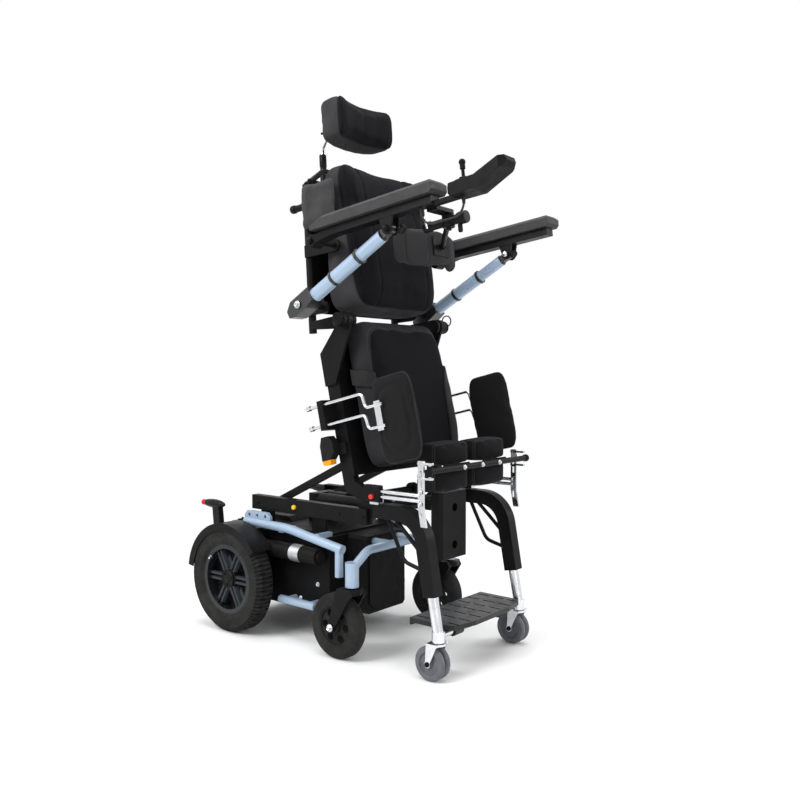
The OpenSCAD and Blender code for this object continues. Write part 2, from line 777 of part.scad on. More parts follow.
// Caster fork with a swivel stem, arched crown, two raked arms and the axle
module caster_fork() {
  x = caster_at[0];
  axle = [x - caster_wheel[0], caster_wheel[1]];
  inside = caster_wheel[2] / 2 + fork_arm[1];
  outside = inside + fork_arm[0];
  crown_low = fork_z - fork_arm[2];
  translate([x, -caster_at[1], crown_low])
    cylinder(h = fork_arm[2], r = fork_crown[0]);
  translate([x, -caster_at[1], crown_low])
    cylinder(h = barrel[2] - 2 * stem_r - crown_low, r = stem_r);
  for (side = [-1, 1])
    translate([0, -caster_at[1] + (side < 0 ? -outside : inside), 0]) {
      slab([
        [x + fork_crown[0] / 2, fork_z], [x - fork_crown[0], fork_z],
        [axle[0] - 2 * caster_axle, axle[1]], [axle[0] + 2 * caster_axle, axle[1]],
        [x + fork_crown[0] * 0.8, crown_low]
      ], 0, fork_arm[0]);
      across(axle, 0, fork_arm[0], 2 * caster_axle);
    }
  slab([
    [x + fork_crown[0] / 2, fork_z], [x - fork_crown[0], fork_z],
    [x - fork_crown[0], crown_low], [x + fork_crown[0] * 0.8, crown_low]
  ], -caster_at[1] - outside, 2 * outside);
  across(axle, -caster_at[1] - outside - caster_axle / 2, 2 * outside + caster_axle, caster_axle);
}

module caster_fork_right() color(black) caster_fork();
module caster_fork_left() color(black) mirror([0, 1, 0]) caster_fork();

// Caster tyre and windowed rim
module caster_roll() {
  half = caster_wheel[2] / 2;
  r = caster_wheel[1];
  c = half * 0.55;
  ring = (caster_rim[0] + caster_rim[1]) / 2;
  wheel_axes(caster_at[0] - caster_wheel[0], caster_at[1], r)
    difference() {
      union() {
        rotate_extrude($fn = 72)
          polygon([
            [caster_rim[0] - c / 2, -half * 0.8], [caster_rim[0], -half], [r - c, -half],
            [r - c * 0.3, -half + c * 0.4], [r, c - half], [r, half - c],
            [r - c * 0.3, half - c * 0.4], [r - c, half], [caster_rim[0], half],
            [caster_rim[0] - c / 2, half * 0.8]
          ]);
        translate([0, 0, -half * 0.6]) cylinder(h = half * 1.2, r = caster_rim[0]);
        translate([0, 0, -half - fork_arm[1] / 2])
          cylinder(h = 2 * half + fork_arm[1], r = caster_rim[1]);
      }
      translate([0, 0, -half - fork_arm[1]])
        cylinder(h = 2 * half + 2 * fork_arm[1], r = caster_axle + run_gap);
      for (i = [0:caster_windows - 1])
        rotate([0, 0, 360 * i / caster_windows])
          translate([ring, 0, -half])
            cylinder(h = 2 * half, r = caster_rim[2]);
    }
}

module caster_wheel_right() color(black) caster_roll();
module caster_wheel_left() color(black) mirror([0, 1, 0]) caster_roll();

module drive_tyre_right() drive_tyre();
module drive_tyre_left() mirror([0, 1, 0]) drive_tyre();

module drive_rim_right() drive_rim();
module drive_rim_left() mirror([0, 1, 0]) drive_rim();

// Channel beam of the lift with its posts and the knee plate
module lift_beam() {
  out = beam_size[0];
  in = out - beam_size[1];
  low = beam_x[2] - beam_size[3] / 2;
  high = beam_x[2] + beam_size[3] / 2;
  wall = beam_size[2];
  k = knee_plate;
  difference() {
    union() {
      block([beam_x[0], -out, low - wall], [beam_x[1], -in, high + wall]);
      slab([
        [beam_x[1] - 4 * k[2], low], [beam_x[1], low], [knee_at[0] + k[2], knee_at[1]],
        [knee_at[0] - k[2], knee_at[1]]
      ], -k[0] - k[1], k[1]);
      across(knee_at, -k[0] - k[1], k[1], k[2]);
      for (x = post_x)
        block([x - beam_post[0] / 2, -house_half[0] + house_chamfer, house_z[1] + seat_gap],
          [x + beam_post[0] / 2, -house_half[0] + house_chamfer + beam_post[1], low]);
    }
    block([beam_x[0] + wall, -out + wall, low], [beam_x[1] - 4 * k[2], -in + cut_over, high]);
    across(knee_at, -k[0] - 2 * k[1], 3 * k[1], knee_shaft + run_gap);
  }
}

module lift_beam_right() color(black) lift_beam();
module lift_beam_left() color(black) mirror([0, 1, 0]) lift_beam();

// Screw actuator: barrel, gear head standing on the lid, and its motor beside it
module actuator_body() {
  r = actuator[0];
  color(black)
    difference() {
      union() {
        lengthwise([0, screw_z], actuator[1], actuator[2] - actuator[1], r);
        lengthwise([actuator_motor[2], screw_z], actuator[1], actuator_motor[1], actuator_motor[0]);
        block([actuator[1] - r, -r, house_z[1] + house_lid[1] + seat_gap],
          [actuator[1] + r / 2, actuator_motor[2] + r, screw_z + r]);
      }
      lengthwise([0, screw_z], actuator[1] + 2 * r, actuator[2] - actuator[1], actuator[3] + run_gap);
    }
}

// Rod and slotted yoke that pulls the crank pin
module actuator_rod() {
  pin_x = crank_pin[0];
  half = yoke[3] / 2;
  cheek_in = crank[2] / 2 + yoke_slot[0];
  cheek_out = cheek_in + yoke[0];
  slot = crank[3] + yoke_slot[0];
  color(chrome)
    difference() {
      union() {
        lengthwise([0, screw_z], actuator[1] + 3 * actuator[0],
          pin_x - yoke[1] - actuator[1] - 3 * actuator[0] + yoke[0] / 2, actuator[3]);
        block([pin_x - yoke[1], -cheek_out, screw_z - half], [pin_x + yoke[2], cheek_out, screw_z + half]);
      }
      block([pin_x - yoke[1] + yoke[0] * 1.3, -cheek_in, screw_z - half - cut_over],
        [pin_x + yoke[2] + cut_over, cheek_in, screw_z + half + cut_over]);
      block([pin_x - slot, -cheek_out - cut_over, screw_z - yoke_slot[1] / 2],
        [pin_x + slot, cheek_out + cut_over, screw_z + yoke_slot[1] / 2]);
    }
}

// Push bars from the seat to rollers that run in the beams
module lift_strut() {
  foot = strut_foot;
  h = strut_bar[2] / 2;
  y = -strut_bar[0] - strut_bar[1];
  side_plane(y + strut_bar[1] / 2)
    bent([foot, lift_hinge], [strut_bar[2], strut_bar[1]], h);
  across(foot, y, strut_bar[1], h * 1.15);
  across(lift_hinge, y, strut_bar[1], h * 1.15);
  across(lift_hinge, y, 2 * strut_bar[1] + strut_bar[1] / 2, strut_roller[2]);
  across(foot, y - strut_roller[1] - strut_bar[1], strut_roller[1] + strut_bar[1] + strut_roller[2], strut_roller[2]);
  across(foot, y - strut_roller[1] - strut_bar[1], strut_roller[1], strut_roller[0]);
}

module lift_struts() color(black) pair() lift_strut();

// Curved leg beam with its two brace rods
module leg() {
  y = leg_y;
  line = [[leg_top[0], leg_top[2]], [leg_top[1], leg_top[2]], leg_foot];
  low = leg_top[2] - leg_bar[0] / 4;
  reach = leg_top[1] - leg_top[0];
  fall = leg_top[2] - leg_foot[1];
  side_plane(-y) {
    bent(line, [leg_bar[0], leg_bar[1]], leg_bar[2]);
    bent([
      [leg_top[0] + reach * 0.22, low], [leg_top[0] + reach * 0.62, leg_top[2] - fall * 0.62],
      [leg_foot[0] - leg_bar[0] / 4, leg_foot[1] + fall * 0.28]
    ], leg_brace[0], leg_brace[1]);
    bent([
      [leg_top[0] + reach * 0.36, low], [leg_foot[0] - leg_bar[0] / 4, leg_foot[1] + fall * 0.4]
    ], leg_brace[0], leg_brace[1]);
  }
}

module leg_right() color(black) leg();
module leg_left() color(black) mirror([0, 1, 0]) leg();

// Chrome lower legs, their swivel barrels and the footplate hinge tube
module leg_tubes() {
  foot = [leg_chrome[1], leg_chrome[2]];
  way = (foot - leg_foot) / norm(foot - leg_foot);
  start = leg_foot + (seat_gap + leg_chrome[0] / 50) * way;
  color(chrome)
    difference() {
      union() {
        pair() {
          rod([start[0], -leg_y, start[1]], [foot[0], -leg_y, foot[1]], leg_chrome[0]);
          translate([foot[0], -leg_y, leg_barrel[1]])
            cylinder(h = foot[1] - leg_barrel[1] + leg_chrome[0] / 2, r = leg_barrel[0]);
        }
        across(foot_hinge, -leg_y, 2 * leg_y, foot_hinge[2]);
      }
      pair()
        translate([foot[0], -leg_y, leg_barrel[1] - cut_over])
          cylinder(h = leg_barrel[0] + cut_over, r = leg_fork[1] + run_gap);
    }
}

// Swivel fork of a leg with its axle
module leg_swivel() {
  x = leg_chrome[1];
  axle = [x - leg_wheel[0], leg_wheel[1]];
  inside = leg_wheel[3] / 2 + leg_wheel[2] + leg_fork[0] / 2;
  top = leg_barrel[1] - leg_fork[0] / 2;
  low = top - 1.5 * leg_fork[0];
  translate([x, -leg_y, low])
    cylinder(h = leg_barrel[1] - low + leg_barrel[0] - leg_fork[1], r = leg_fork[1]);
  translate([x, -leg_y, low])
    cylinder(h = top - low, r = inside);
  for (side = [-1, 1])
    translate([0, -leg_y + (side < 0 ? -inside - leg_fork[0] : inside), 0]) {
      slab([
        [x + leg_fork[3] / 2, top], [x - leg_fork[3] * 0.8, top],
        [axle[0] - leg_fork[1], axle[1]], [axle[0] + leg_fork[1], axle[1]]
      ], 0, leg_fork[0]);
      across(axle, 0, leg_fork[0], leg_fork[1] * 1.4);
    }
  block([x - leg_fork[3] * 0.8, -leg_y - inside - leg_fork[0], low],
    [x + leg_fork[3] / 2, -leg_y + inside + leg_fork[0], top]);
  across(axle, -leg_y - inside - 1.5 * leg_fork[0], 2 * inside + 3 * leg_fork[0], leg_fork[2]);
}

module leg_fork_right() color(chrome) leg_swivel();
module leg_fork_left() color(chrome) mirror([0, 1, 0]) leg_swivel();

// Twin grey wheels on one hub sleeve
module leg_pair() {
  r = leg_wheel[1];
  w = leg_wheel[2];
  gap = leg_wheel[3];
  c = w / 4;
  wheel_axes(leg_chrome[1] - leg_wheel[0], leg_y, r)
    difference() {
      union() {
        for (side = [-1, 1])
          translate([0, 0, side * (gap + w) / 2])
            rotate_extrude($fn = 60)
              polygon([
                [0, -w / 2 + c], [r * 0.62, -w / 2 + c], [r * 0.66, -w / 2], [r - c, -w / 2], [r, -w / 2 + c],
                [r, w / 2 - c], [r - c, w / 2], [r * 0.66, w / 2], [r * 0.62, w / 2 - c], [0, w / 2 - c]
              ]);
        translate([0, 0, -gap / 2 - w]) cylinder(h = gap + 2 * w, r = r * 0.24);
      }
      translate([0, 0, -gap - w]) cylinder(h = 2 * gap + 2 * w, r = leg_fork[2] + run_gap);
    }
}

module leg_wheels_right() color(grey) leg_pair();
module leg_wheels_left() color(grey) mirror([0, 1, 0]) leg_pair();

// Cross tube between the legs, its hinge plates and the shin box
module leg_yoke() {
  tube = [leg_cross[0], leg_cross[1]];
  p = yoke_plate;
  face = leg_y - leg_bar[1] / 2 - seat_gap;
  box_low = shin_top[0] - shin_box[3];
  box_back = shin_box[0] - shin_box[1];
  c = shin_top[1];
  color(black)
    difference() {
      union() {
        across(tube, -face, 2 * face, leg_cross[2]);
        pair() {
          across(knee_at, -p[0] - p[1], p[1], p[2]);
          across(tube, -p[0] - p[1], p[1], p[2]);
          slab([
            [knee_at[0], knee_at[1] + p[2]], [knee_at[0] - p[2] / 2, knee_at[1] - p[2] / 2],
            [tube[0] - p[2] / 2, tube[1] - p[2] / 2], [tube[0] + p[2] / 2, tube[1] + p[2] / 2]
          ], -p[0] - p[1], p[1]);
        }
        slab([
          [tube[0], tube[1] + leg_cross[2] / 2], [tube[0], tube[1] - leg_cross[2] / 2],
          [box_back + c, tube[1] - 3 * leg_cross[2]], [box_back + c, tube[1]]
        ], -shin_box[2] / 6, shin_box[2] / 3);
        translate([0, 0, box_low])
          linear_extrude(height = shin_box[3])
            polygon([
              [box_back, -shin_box[2] / 2 + c], [box_back + c, -shin_box[2] / 2], [shin_box[0] - c, -shin_box[2] / 2],
              [shin_box[0], -shin_box[2] / 2 + c], [shin_box[0], shin_box[2] / 2 - c], [shin_box[0] - c, shin_box[2] / 2],
              [box_back + c, shin_box[2] / 2], [box_back, shin_box[2] / 2 - c]
            ]);
      }
      for (z = [box_low + shin_box[3] * 0.2, shin_top[0] - shin_box[3] * 0.24])
        lengthwise([0, z], shin_box[0] - shin_box[1] / 2, shin_box[1], shin_top[2]);
      pair() across(knee_at, -p[0] - 2 * p[1], 3 * p[1], knee_shaft + run_gap);
    }
}

// Stepped footplate with a slotted tread, on two hinge lugs
module footplate() {
  half = foot_size[0];
  low = foot_x[2] - foot_size[1];
  length = foot_x[1] - foot_x[0];
  color(black)
    difference() {
      union() {
        translate([0, 0, low])
          linear_extrude(height = foot_size[1])
            polygon([
              [foot_x[0], -half], [foot_x[1] - foot_step[0], -half],
              [foot_x[1] - foot_step[0] / 3, -half + foot_step[0] / 3],
              [foot_x[1], -half + foot_step[1]], [foot_x[1], half - foot_step[1]],
              [foot_x[1] - foot_step[0] / 3, half - foot_step[0] / 3], [foot_x[1] - foot_step[0], half], [foot_x[0], half]
            ]);
        pair() {
          across(foot_hinge, -foot_lug[2] - foot_lug[0] / 2, foot_lug[0], foot_hinge[2] + foot_lug[1]);
          block([foot_hinge[0] - foot_hinge[2], -foot_lug[2] - foot_lug[0] / 2, foot_hinge[1]],
            [foot_hinge[0] + foot_hinge[2], -foot_lug[2] + foot_lug[0] / 2, low]);
        }
        block([foot_x[0], -half, low - foot_size[1] / 2], [foot_x[0] + foot_size[1] / 2, half, low]);
      }
      pair() across(foot_hinge, -foot_lug[2] - foot_lug[0], 2 * foot_lug[0], foot_hinge[2] + run_gap);
      for (i = [0:foot_slots[0] - 1])
        for (j = [0:foot_slots[1] - 1])
          translate([
            foot_x[0] + length * (j + 0.5) / foot_slots[1] - foot_slot[0] / 2,
            2 * half * ((i + 0.5) / foot_slots[0] - 0.5) - foot_slot[1] / 2,
            foot_x[2] - foot_slot[2]
          ])
            cube([foot_slot[0], foot_slot[1], foot_slot[2] + cut_over]);
    }
}

// Chrome rails and slotted brackets that hold the knee bar
module knee_rail_side() {
  y = -knee_rail_y;
  b = knee_bracket;
  r = knee_rail[2];
  foot_z = leg_top[2] + leg_bar[0] / 2 + seat_gap;
  front = b[0] - b[1] / 2;
  difference() {
    union() {
      for (side = [-1, 1])
        lengthwise([y, knee_rail[1] + side * knee_rail[3] / 2], leg_top[0] + r, front - leg_top[0], r);
      block([leg_top[0] + r / 2, y - r, foot_z], [leg_top[0] + 6 * r, y + 3 * r, knee_rail[1] + 2 * r]);
      slab([
        [front, knee_bracket_z[1]], [front, knee_rail[1] - 4 * r], [front + b[1] / 2, knee_bracket_z[0]],
        [front + 1.5 * b[1], knee_bracket_z[0]], [b[0] + b[1] / 2, knee_rail[1] - 4 * r],
        [b[0] + b[1] / 2, knee_bracket_z[1]]
      ], y - b[2] / 2, b[2]);
      for (side = [-1, 1])
        translate([front, y - b[2], knee_bar_at[1] + side * (knee_bar_at[2] + 2 * b[2]) - b[2] / 2])
          cube([knee_bar_at[0] - front + knee_bar_at[2], 2 * b[2], b[2]]);
    }
    for (z = [knee_bracket_z[0] + 2 * b[1], knee_rail[1] + 2 * b[1], knee_rail[1] + 3.4 * b[1]])
      block([b[0] - b[2] / 2, y - b[1], z - b[1] / 2], [b[0] + b[2] / 2, y + b[1], z + b[1] / 2]);
  }
}

module knee_rails() {
  at = knee_bar_at;
  color(chrome) {
    pair() knee_rail_side();
    translate([at[0], -knee_rail_y, at[1] - at[2] - 2 * knee_bracket[2]])
      cylinder(h = 2 * at[2] + 4 * knee_bracket[2], r = at[2] / 2);
  }
}

// Knee bar that swings on its right end, with the pad plates
module knee_bar() {
  at = knee_bar_at;
  eye = at[2] + knee_bracket[2];
  color(black)
    difference() {
      union() {
        across(at, -knee_rail_y, 2 * knee_rail_y + 2 * at[2], at[2]);
        across(at, knee_rail_y + 2 * at[2], at[2], at[2] * 1.3);
        translate([at[0], -knee_rail_y, at[1] - eye])
          cylinder(h = 2 * eye, r = at[2]);
        for (side = [-1, 1])
          translate([at[0] - at[2] - knee_plate_size[0], side * (knee_pad[1] + knee_pad_gap[1]) / 2, at[1]]) {
            translate([0, -knee_pad[1] / 3, -knee_plate_size[1] / 2])
              cube([knee_plate_size[0], knee_pad[1] * 2 / 3, knee_plate_size[1]]);
            translate([0, -knee_pad[1] / 4, -at[2] / 2])
              cube([at[2] + knee_plate_size[0], knee_pad[1] / 2, at[2]]);
          }
      }
      translate([at[0], -knee_rail_y, at[1] - 2 * eye])
        cylinder(h = 4 * eye, r = at[2] / 2 + run_gap);
    }
}

// Four padded blocks, two over two
module knee_pads() {
  at = knee_bar_at;
  x = at[0] - at[2] - knee_plate_size[0] - seat_gap - knee_pad[0] / 2;
  color(cloth)
    for (side = [-1, 1])
      for (level = [-1, 1])
        translate([x, side * (knee_pad[1] + knee_pad_gap[1]) / 2,
          at[1] + level * (knee_pad[2] + knee_pad_gap[0]) / 2])
          rotate([0, 0, 180])
            soft_pad(knee_pad, knee_pad[0] / 8, knee_pad[0] / 14, 0, 0, [], 11, 24, box_form);
}

// Seat rails, pan, knee shaft with its crank, and all brackets
module seat_frame() {
  boss = knee_plate[2];
  pan_front = rail_n[1] + seat_pan[0];
  bracket_y = strut_bar[0] - strut_bar[1] / 6;
  hip_in = rail_out;
  rod_mid = (hip_rod_t[0] + hip_rod_t[1]) / 2;
  rod_half = (hip_rod_t[0] - hip_rod_t[1]) / 2 + hip_bracket[2];
  color(black)
    difference() {
      union() {
        seat_axes() {
          pair() {
            difference() {
              block([rail_n[0], -rail_out, rail_t[0]], [rail_n[1], -rail_y[0], rail_t[1]]);
              block([rail_n[0] + rail_wall, -rail_out + rail_wall, rail_t[0] + 4 * boss],
                [rail_n[1] - rail_wall, -rail_y[0] - rail_wall, rail_t[1] + cut_over]);
            }
            slab([
              [rail_n[0], rail_t[0] + boss], [rail_n[0], rail_t[0]], [0, -boss], [boss / 2, 0],
              [0, boss], [rail_n[1], rail_t[0] + boss]
            ], -rail_out, rail_y[1]);
            across([0, 0], -rail_out, rail_y[1], boss);
            slab([
              [rail_n[1], seat_pan[1] + strut_bar[1]], strut_hinge - [0, strut_bar[2] / 2],
              strut_hinge + [0, strut_bar[2] / 2], [rail_n[1], strut_hinge[1] + 2 * strut_bar[2]]
            ], -bracket_y, strut_bar[1]);
            across(strut_hinge, -bracket_y, strut_bar[1], strut_bar[2] / 2);
            slab([
              [rail_n[0], rail_t[1] - 4 * hip_plate[1]], [rail_n[1], rail_t[1] - 4 * hip_plate[1]],
              hip_local + [hip_plate[1] * 0.9, -hip_plate[1] / 3], hip_local + [-hip_plate[1], hip_plate[1] / 4],
              [rail_n[0], rail_t[1]]
            ], -hip_in - hip_plate[0], hip_plate[0]);
            across(hip_local, -hip_in - hip_plate[0], hip_plate[0], hip_plate[1]);
            block([hip_bracket[0] - hip_bracket[1] / 2, -hip_rod[1] - hip_bracket[2] / 1.4, rod_mid - rod_half],
              [hip_bracket[0] + hip_bracket[1] / 2, -rail_out, rod_mid + rod_half]);
          }
          block([rail_n[1], -rail_out, seat_pan[1]], [pan_front, rail_out, rail_t[1]]);
          block([rail_n[1], -rail_y[0], seat_pan[1]], [pan_front, rail_y[0], seat_pan[2]]);
          block([seat_lamp_at[0] - seat_lamp_size[0] / 6, -seat_lamp_at[2] + seat_lamp_size[1] / 2 + seat_gap,
            seat_lamp_at[1] - seat_lamp_size[2] / 5],
            [rail_n[1], -rail_out, seat_lamp_at[1] + seat_lamp_size[2] / 5]);
        }
        across(knee_at, -rail_out - knee_shaft / 2, 2 * rail_out + knee_shaft, knee_shaft);
        slab([
          knee_at + crank[1] / 2 * [cos(crank_angle + 90), sin(crank_angle + 90)],
          knee_at - crank[1] / 2 * [cos(crank_angle + 90), sin(crank_angle + 90)],
          crank_pin - crank[1] / 2 * [cos(crank_angle + 90), sin(crank_angle + 90)],
          crank_pin + crank[1] / 2 * [cos(crank_angle + 90), sin(crank_angle + 90)]
        ], -crank[2] / 2, crank[2]);
        across(crank_pin, -crank[2] / 2, crank[2], crank[1] / 2);
        across(knee_at, -crank[2] / 2, crank[2], crank[1]);
        across(crank_pin, -crank[2] / 2 - yoke[0], crank[2] + 2 * yoke[0], crank[3]);
      }
      seat_axes()
        pair() {
          across(strut_hinge, -bracket_y - strut_bar[1], 3 * strut_bar[1], strut_roller[2] + run_gap);
          across(hip_local, -hip_in - 2 * hip_plate[0], 3 * hip_plate[0], arm_boss[1] + run_gap);
          for (t = hip_rod_t)
            lengthwise([-hip_rod[1], t], hip_bracket[0] - hip_bracket[1], 2 * hip_bracket[1], hip_rod[0] + run_gap);
        }
    }
}

module seat_cushion() {
  color(cloth)
    seat_axes()
      translate([rail_n[1] + seat_pan[0] + seat_gap + seat_pad[0] / 2, 0, (seat_pad[2] + seat_pad[3]) / 2])
        soft_pad([seat_pad[0], seat_pad[1], seat_pad[3] - seat_pad[2]],
          0, seat_pad[0] / 5, 0, -0.18, [], 22, 28);
}

// Lamp under the seat's right rail; its lens faces forward once the seat is down
module seat_lamp() {
  d = seat_lamp_size[0] / 2;
  w = seat_lamp_size[1];
  h = seat_lamp_size[2] / 2;
  color(black)
    seat_axes()
      translate([seat_lamp_at[0], 0, seat_lamp_at[1]]) {
        slab([
          [-d * 0.6, h], [-d, h * 0.4], [-d, -h + seat_lens], [d * 0.3, -h + seat_lens], [d, -h * 0.2],
          [d, h * 0.5], [d * 0.5, h]
        ], -seat_lamp_at[2] - w / 2, w);
        slab([
          [-d, -h + seat_lens], [-d * 0.9, -h], [d * 0.2, -h], [d * 0.3, -h + seat_lens]
        ], -seat_lamp_at[2] - w * 0.45, w * 0.9);
      }
}

// Stepped chrome rods of a hip pad with their end caps and pad clamp
module hip_rods() {
  color(chrome)
    seat_axes() {
      for (t = hip_rod_t) {
        side_plane(-hip_rod[1])
          bent([
            [hip_rod_n[0], t], [hip_rod_n[1], t], [hip_rod_n[1] + hip_rod_step[1] / 2, t - hip_rod_step[0]],
            [hip_rod_n[2], t - hip_rod_step[0]]
          ], hip_rod[0], hip_rod_step[1]);
        lengthwise([-hip_rod[1], t], hip_rod_n[0] - hip_cap[1], hip_cap[1], hip_cap[0]);
      }
      block([
        hip_rod_n[2] - hip_clamp[0], -hip_rod[1] - hip_rod[0] / 2, hip_rod_t[1] - hip_rod_step[0] - hip_clamp[2]
      ], [
        hip_rod_n[2] - hip_clamp[0] / 4, -hip_pad_at[2] - hip_pad[0] - seat_gap, hip_rod_t[0] - hip_rod_step[0] + hip_clamp[2]
      ]);
    }
}

module hip_rods_right() hip_rods();
module hip_rods_left() mirror([0, 1, 0]) hip_rods();

module hip_side() {
  color(cloth)
    seat_axes()
      translate([hip_pad_at[0], -hip_pad_at[2] - hip_pad[0] / 2, hip_pad_at[1]])
        rotate([0, 0, 90])
          soft_pad(hip_pad, 0, hip_pad[0] / 12, 0, 0, [], 16, 22, oval_form);
}

module hip_pad_right() hip_side();
module hip_pad_left() mirror([0, 1, 0]) hip_side();

// Hip discs between the seat and the back, each with a pin and a knob
module back_carrier() {
  face = rail_out + hip_plate[0] + side_gap;
  color(black)
    pair() {
      across(hip_at, -face - carrier[0], carrier[0], hip_plate[1]);
      across(hip_at, -face, face - back_lug[0] + join_lap, arm_boss[1]);
      across(hip_at, -face - carrier[0] - carrier[2], carrier[2], carrier[1]);
    }
}

// Back posts, cross bars, panel, hip lugs, arm hinges, strut hinges and the headrest clamp
module back_frame() {
  x = post_at[0];
  y = post_at[1];
  r = post_size[0];
  top = post_size[2];
  lug_in = back_lug[0];
  lug = back_lug[2];
  plate_in = y + r - join_lap;
  arm_end = arm_y + arm_bar[0] / 2 + arm_boss[1] / 2;
  strut_end = arm_y + strut_house[3] / 2 + arm_boss[1] / 2;
  clamp_z = top + cross_bar[1] - cross_bar[0];
  color(black)
    back_axes()
      difference() {
        union() {
          pair() {
            translate([x, -y, post_size[1]]) cylinder(h = top - post_size[1], r = r);
            slab([[x, lug / 2], [x, -lug / 2], [0, -lug], [0, lug]], -lug_in - back_lug[1], back_lug[1]);
            across([0, 0], -lug_in - back_lug[1], back_lug[1], lug);
            for (hinge = [arm_at, strut_low])
              slab([
                [x, hinge[1] - arm_boss[0]], [hinge[0], hinge[1] - arm_boss[0]],
                [hinge[0], hinge[1] + arm_boss[0]], [x, hinge[1] + arm_boss[0]]
              ], -plate_in - back_lug[1], back_lug[1]);
            for (hinge = [arm_at, strut_low])
              across(hinge, -plate_in - back_lug[1], back_lug[1], arm_boss[0]);
            across(arm_at, -arm_end, arm_end - plate_in, arm_boss[1]);
            across(strut_low, -strut_end, strut_end - plate_in, arm_boss[1]);
            lengthwise([-y, push_stub[0]], x - push_stub[2], push_stub[2], push_stub[1]);
            lengthwise([-y, push_stub[0]], x - 1.32 * r, 1.32 * r, 1.3 * push_stub[1]);
          }
          for (z = cross_z)
            across([x, z], -y, 2 * y, cross_bar[0]);
          front_plane(x)
            bent([[-y, top], [-y * 0.6, top + cross_bar[1]], [y * 0.6, top + cross_bar[1]], [y, top]],
              cross_bar[0], cross_bar[0] * 4);
          block([x + r * 0.6, -y, back_panel[1]], [x + r * 0.6 + back_panel[0], y, back_panel[2]]);
          lengthwise([0, top + cross_bar[1]], head_stalk[0], x - head_stalk[0], cross_bar[0]);
          block([head_stalk[0] - head_clamp[0] / 2, -head_clamp[1] / 2, clamp_z - head_clamp[2] / 2],
            [head_stalk[0] + head_clamp[0] / 2, head_clamp[1] / 2, clamp_z + head_clamp[2] / 2]);
          across([head_stalk[0], clamp_z], -head_clamp[1], head_clamp[1], head_stalk[1] * 1.5);
        }
        pair() across([0, 0], -lug_in - 2 * back_lug[1], 3 * back_lug[1], arm_boss[1] + run_gap);
        translate([head_stalk[0], 0, clamp_z - head_clamp[2]])
          cylinder(h = 2 * head_clamp[2], r = head_stalk[1] + run_gap);
      }
}

// Wrap-round back cushion with stitched channels, and the two side wings
module back_cushion() {
  height = back_pad_z[1] - back_pad_z[0];
  wing_length = wing_x[2] - wing_x[1];
  wing_height = wing_z[1] - wing_z[0];
  color(cloth)
    back_axes() {
      translate([back_pad[0] + back_pad[1] / 2, 0, (back_pad_z[0] + back_pad_z[1]) / 2])
        soft_pad([back_pad[1], back_pad[2], height],
          back_pad[1] / 10, back_pad[1] / 12, back_pad[1] / 20, -0.6, [0.42], 24, 30);
      pair()
        translate([
          (wing_x[1] + wing_x[2]) / 2, -post_at[1] - post_size[0] - wing_x[0] * 0.6, (wing_z[0] + wing_z[1]) / 2
        ])
          rotate([0, 0, 90])
            soft_pad([wing_x[0], wing_length, wing_height], 0, 0, 0, 0, [], 8, 16);
    }
}

// Bent chrome stalk with the tilt ball
module headrest_stalk() {
  ball_x = head_pad_at[0] - head_pad[0] / 2 - 2 * head_ball[0];
  color(chrome)
    back_axes()
      difference() {
        union() {
          side_plane(0)
            bent([
              [head_stalk[0], head_stalk_z[0]], [head_stalk[0], head_stalk_z[1]],
              [head_stalk[0] + (ball_x - head_stalk[0]) * 0.5, head_pad_at[1]], [ball_x, head_pad_at[1]]
            ], head_stalk[1], head_ball[0]);
          across([ball_x, head_pad_at[1]], -head_ball[0] * 0.6, head_ball[0] * 1.2, head_ball[0]);
        }
        across([ball_x, head_pad_at[1]], -head_ball[0], 2 * head_ball[0], head_ball[1] / 2 + run_gap);
      }
}

// Tilting plate behind the headrest, with its cheeks, pin and lever
module headrest_plate() {
  back = head_pad_at[0] - head_pad[0] / 2;
  ball_x = back - 2 * head_ball[0];
  thick = head_ball[1] / 2;
  half = head_ball[0] * 0.6 + side_gap;
  z = head_pad_at[1];
  color(black)
    back_axes() {
      block([back - thick, -head_pad[1] / 5, z - head_pad[2] / 4],
        [back - seat_gap, head_pad[1] / 5, z + head_pad[2] / 4]);
      pair() {
        slab([
          [back - thick, z - 1.2 * head_ball[0]], [back - thick, z + 1.2 * head_ball[0]],
          [ball_x, z + 0.8 * head_ball[0]], [ball_x, z - 0.8 * head_ball[0]]
        ], -half - thick, thick);
        across([ball_x, z], -half - thick, thick, 0.8 * head_ball[0]);
      }
      across([ball_x, z], -half - 2 * thick, 2 * half + 4 * thick, head_ball[1] / 2);
      across([ball_x, z], -half - 3 * thick, 2 * thick, head_ball[1]);
      rod([ball_x, -half - 2 * thick, z], [ball_x - 2 * head_ball[0], -half - 3 * thick, z + thick], thick * 0.9);
    }
}

module headrest_pad() {
  color(cloth)
    back_axes()
      translate([head_pad_at[0], 0, head_pad_at[1]])
        soft_pad(head_pad, head_wrap, head_pad[0] / 14, 0, 0, [], 14, 26);
}

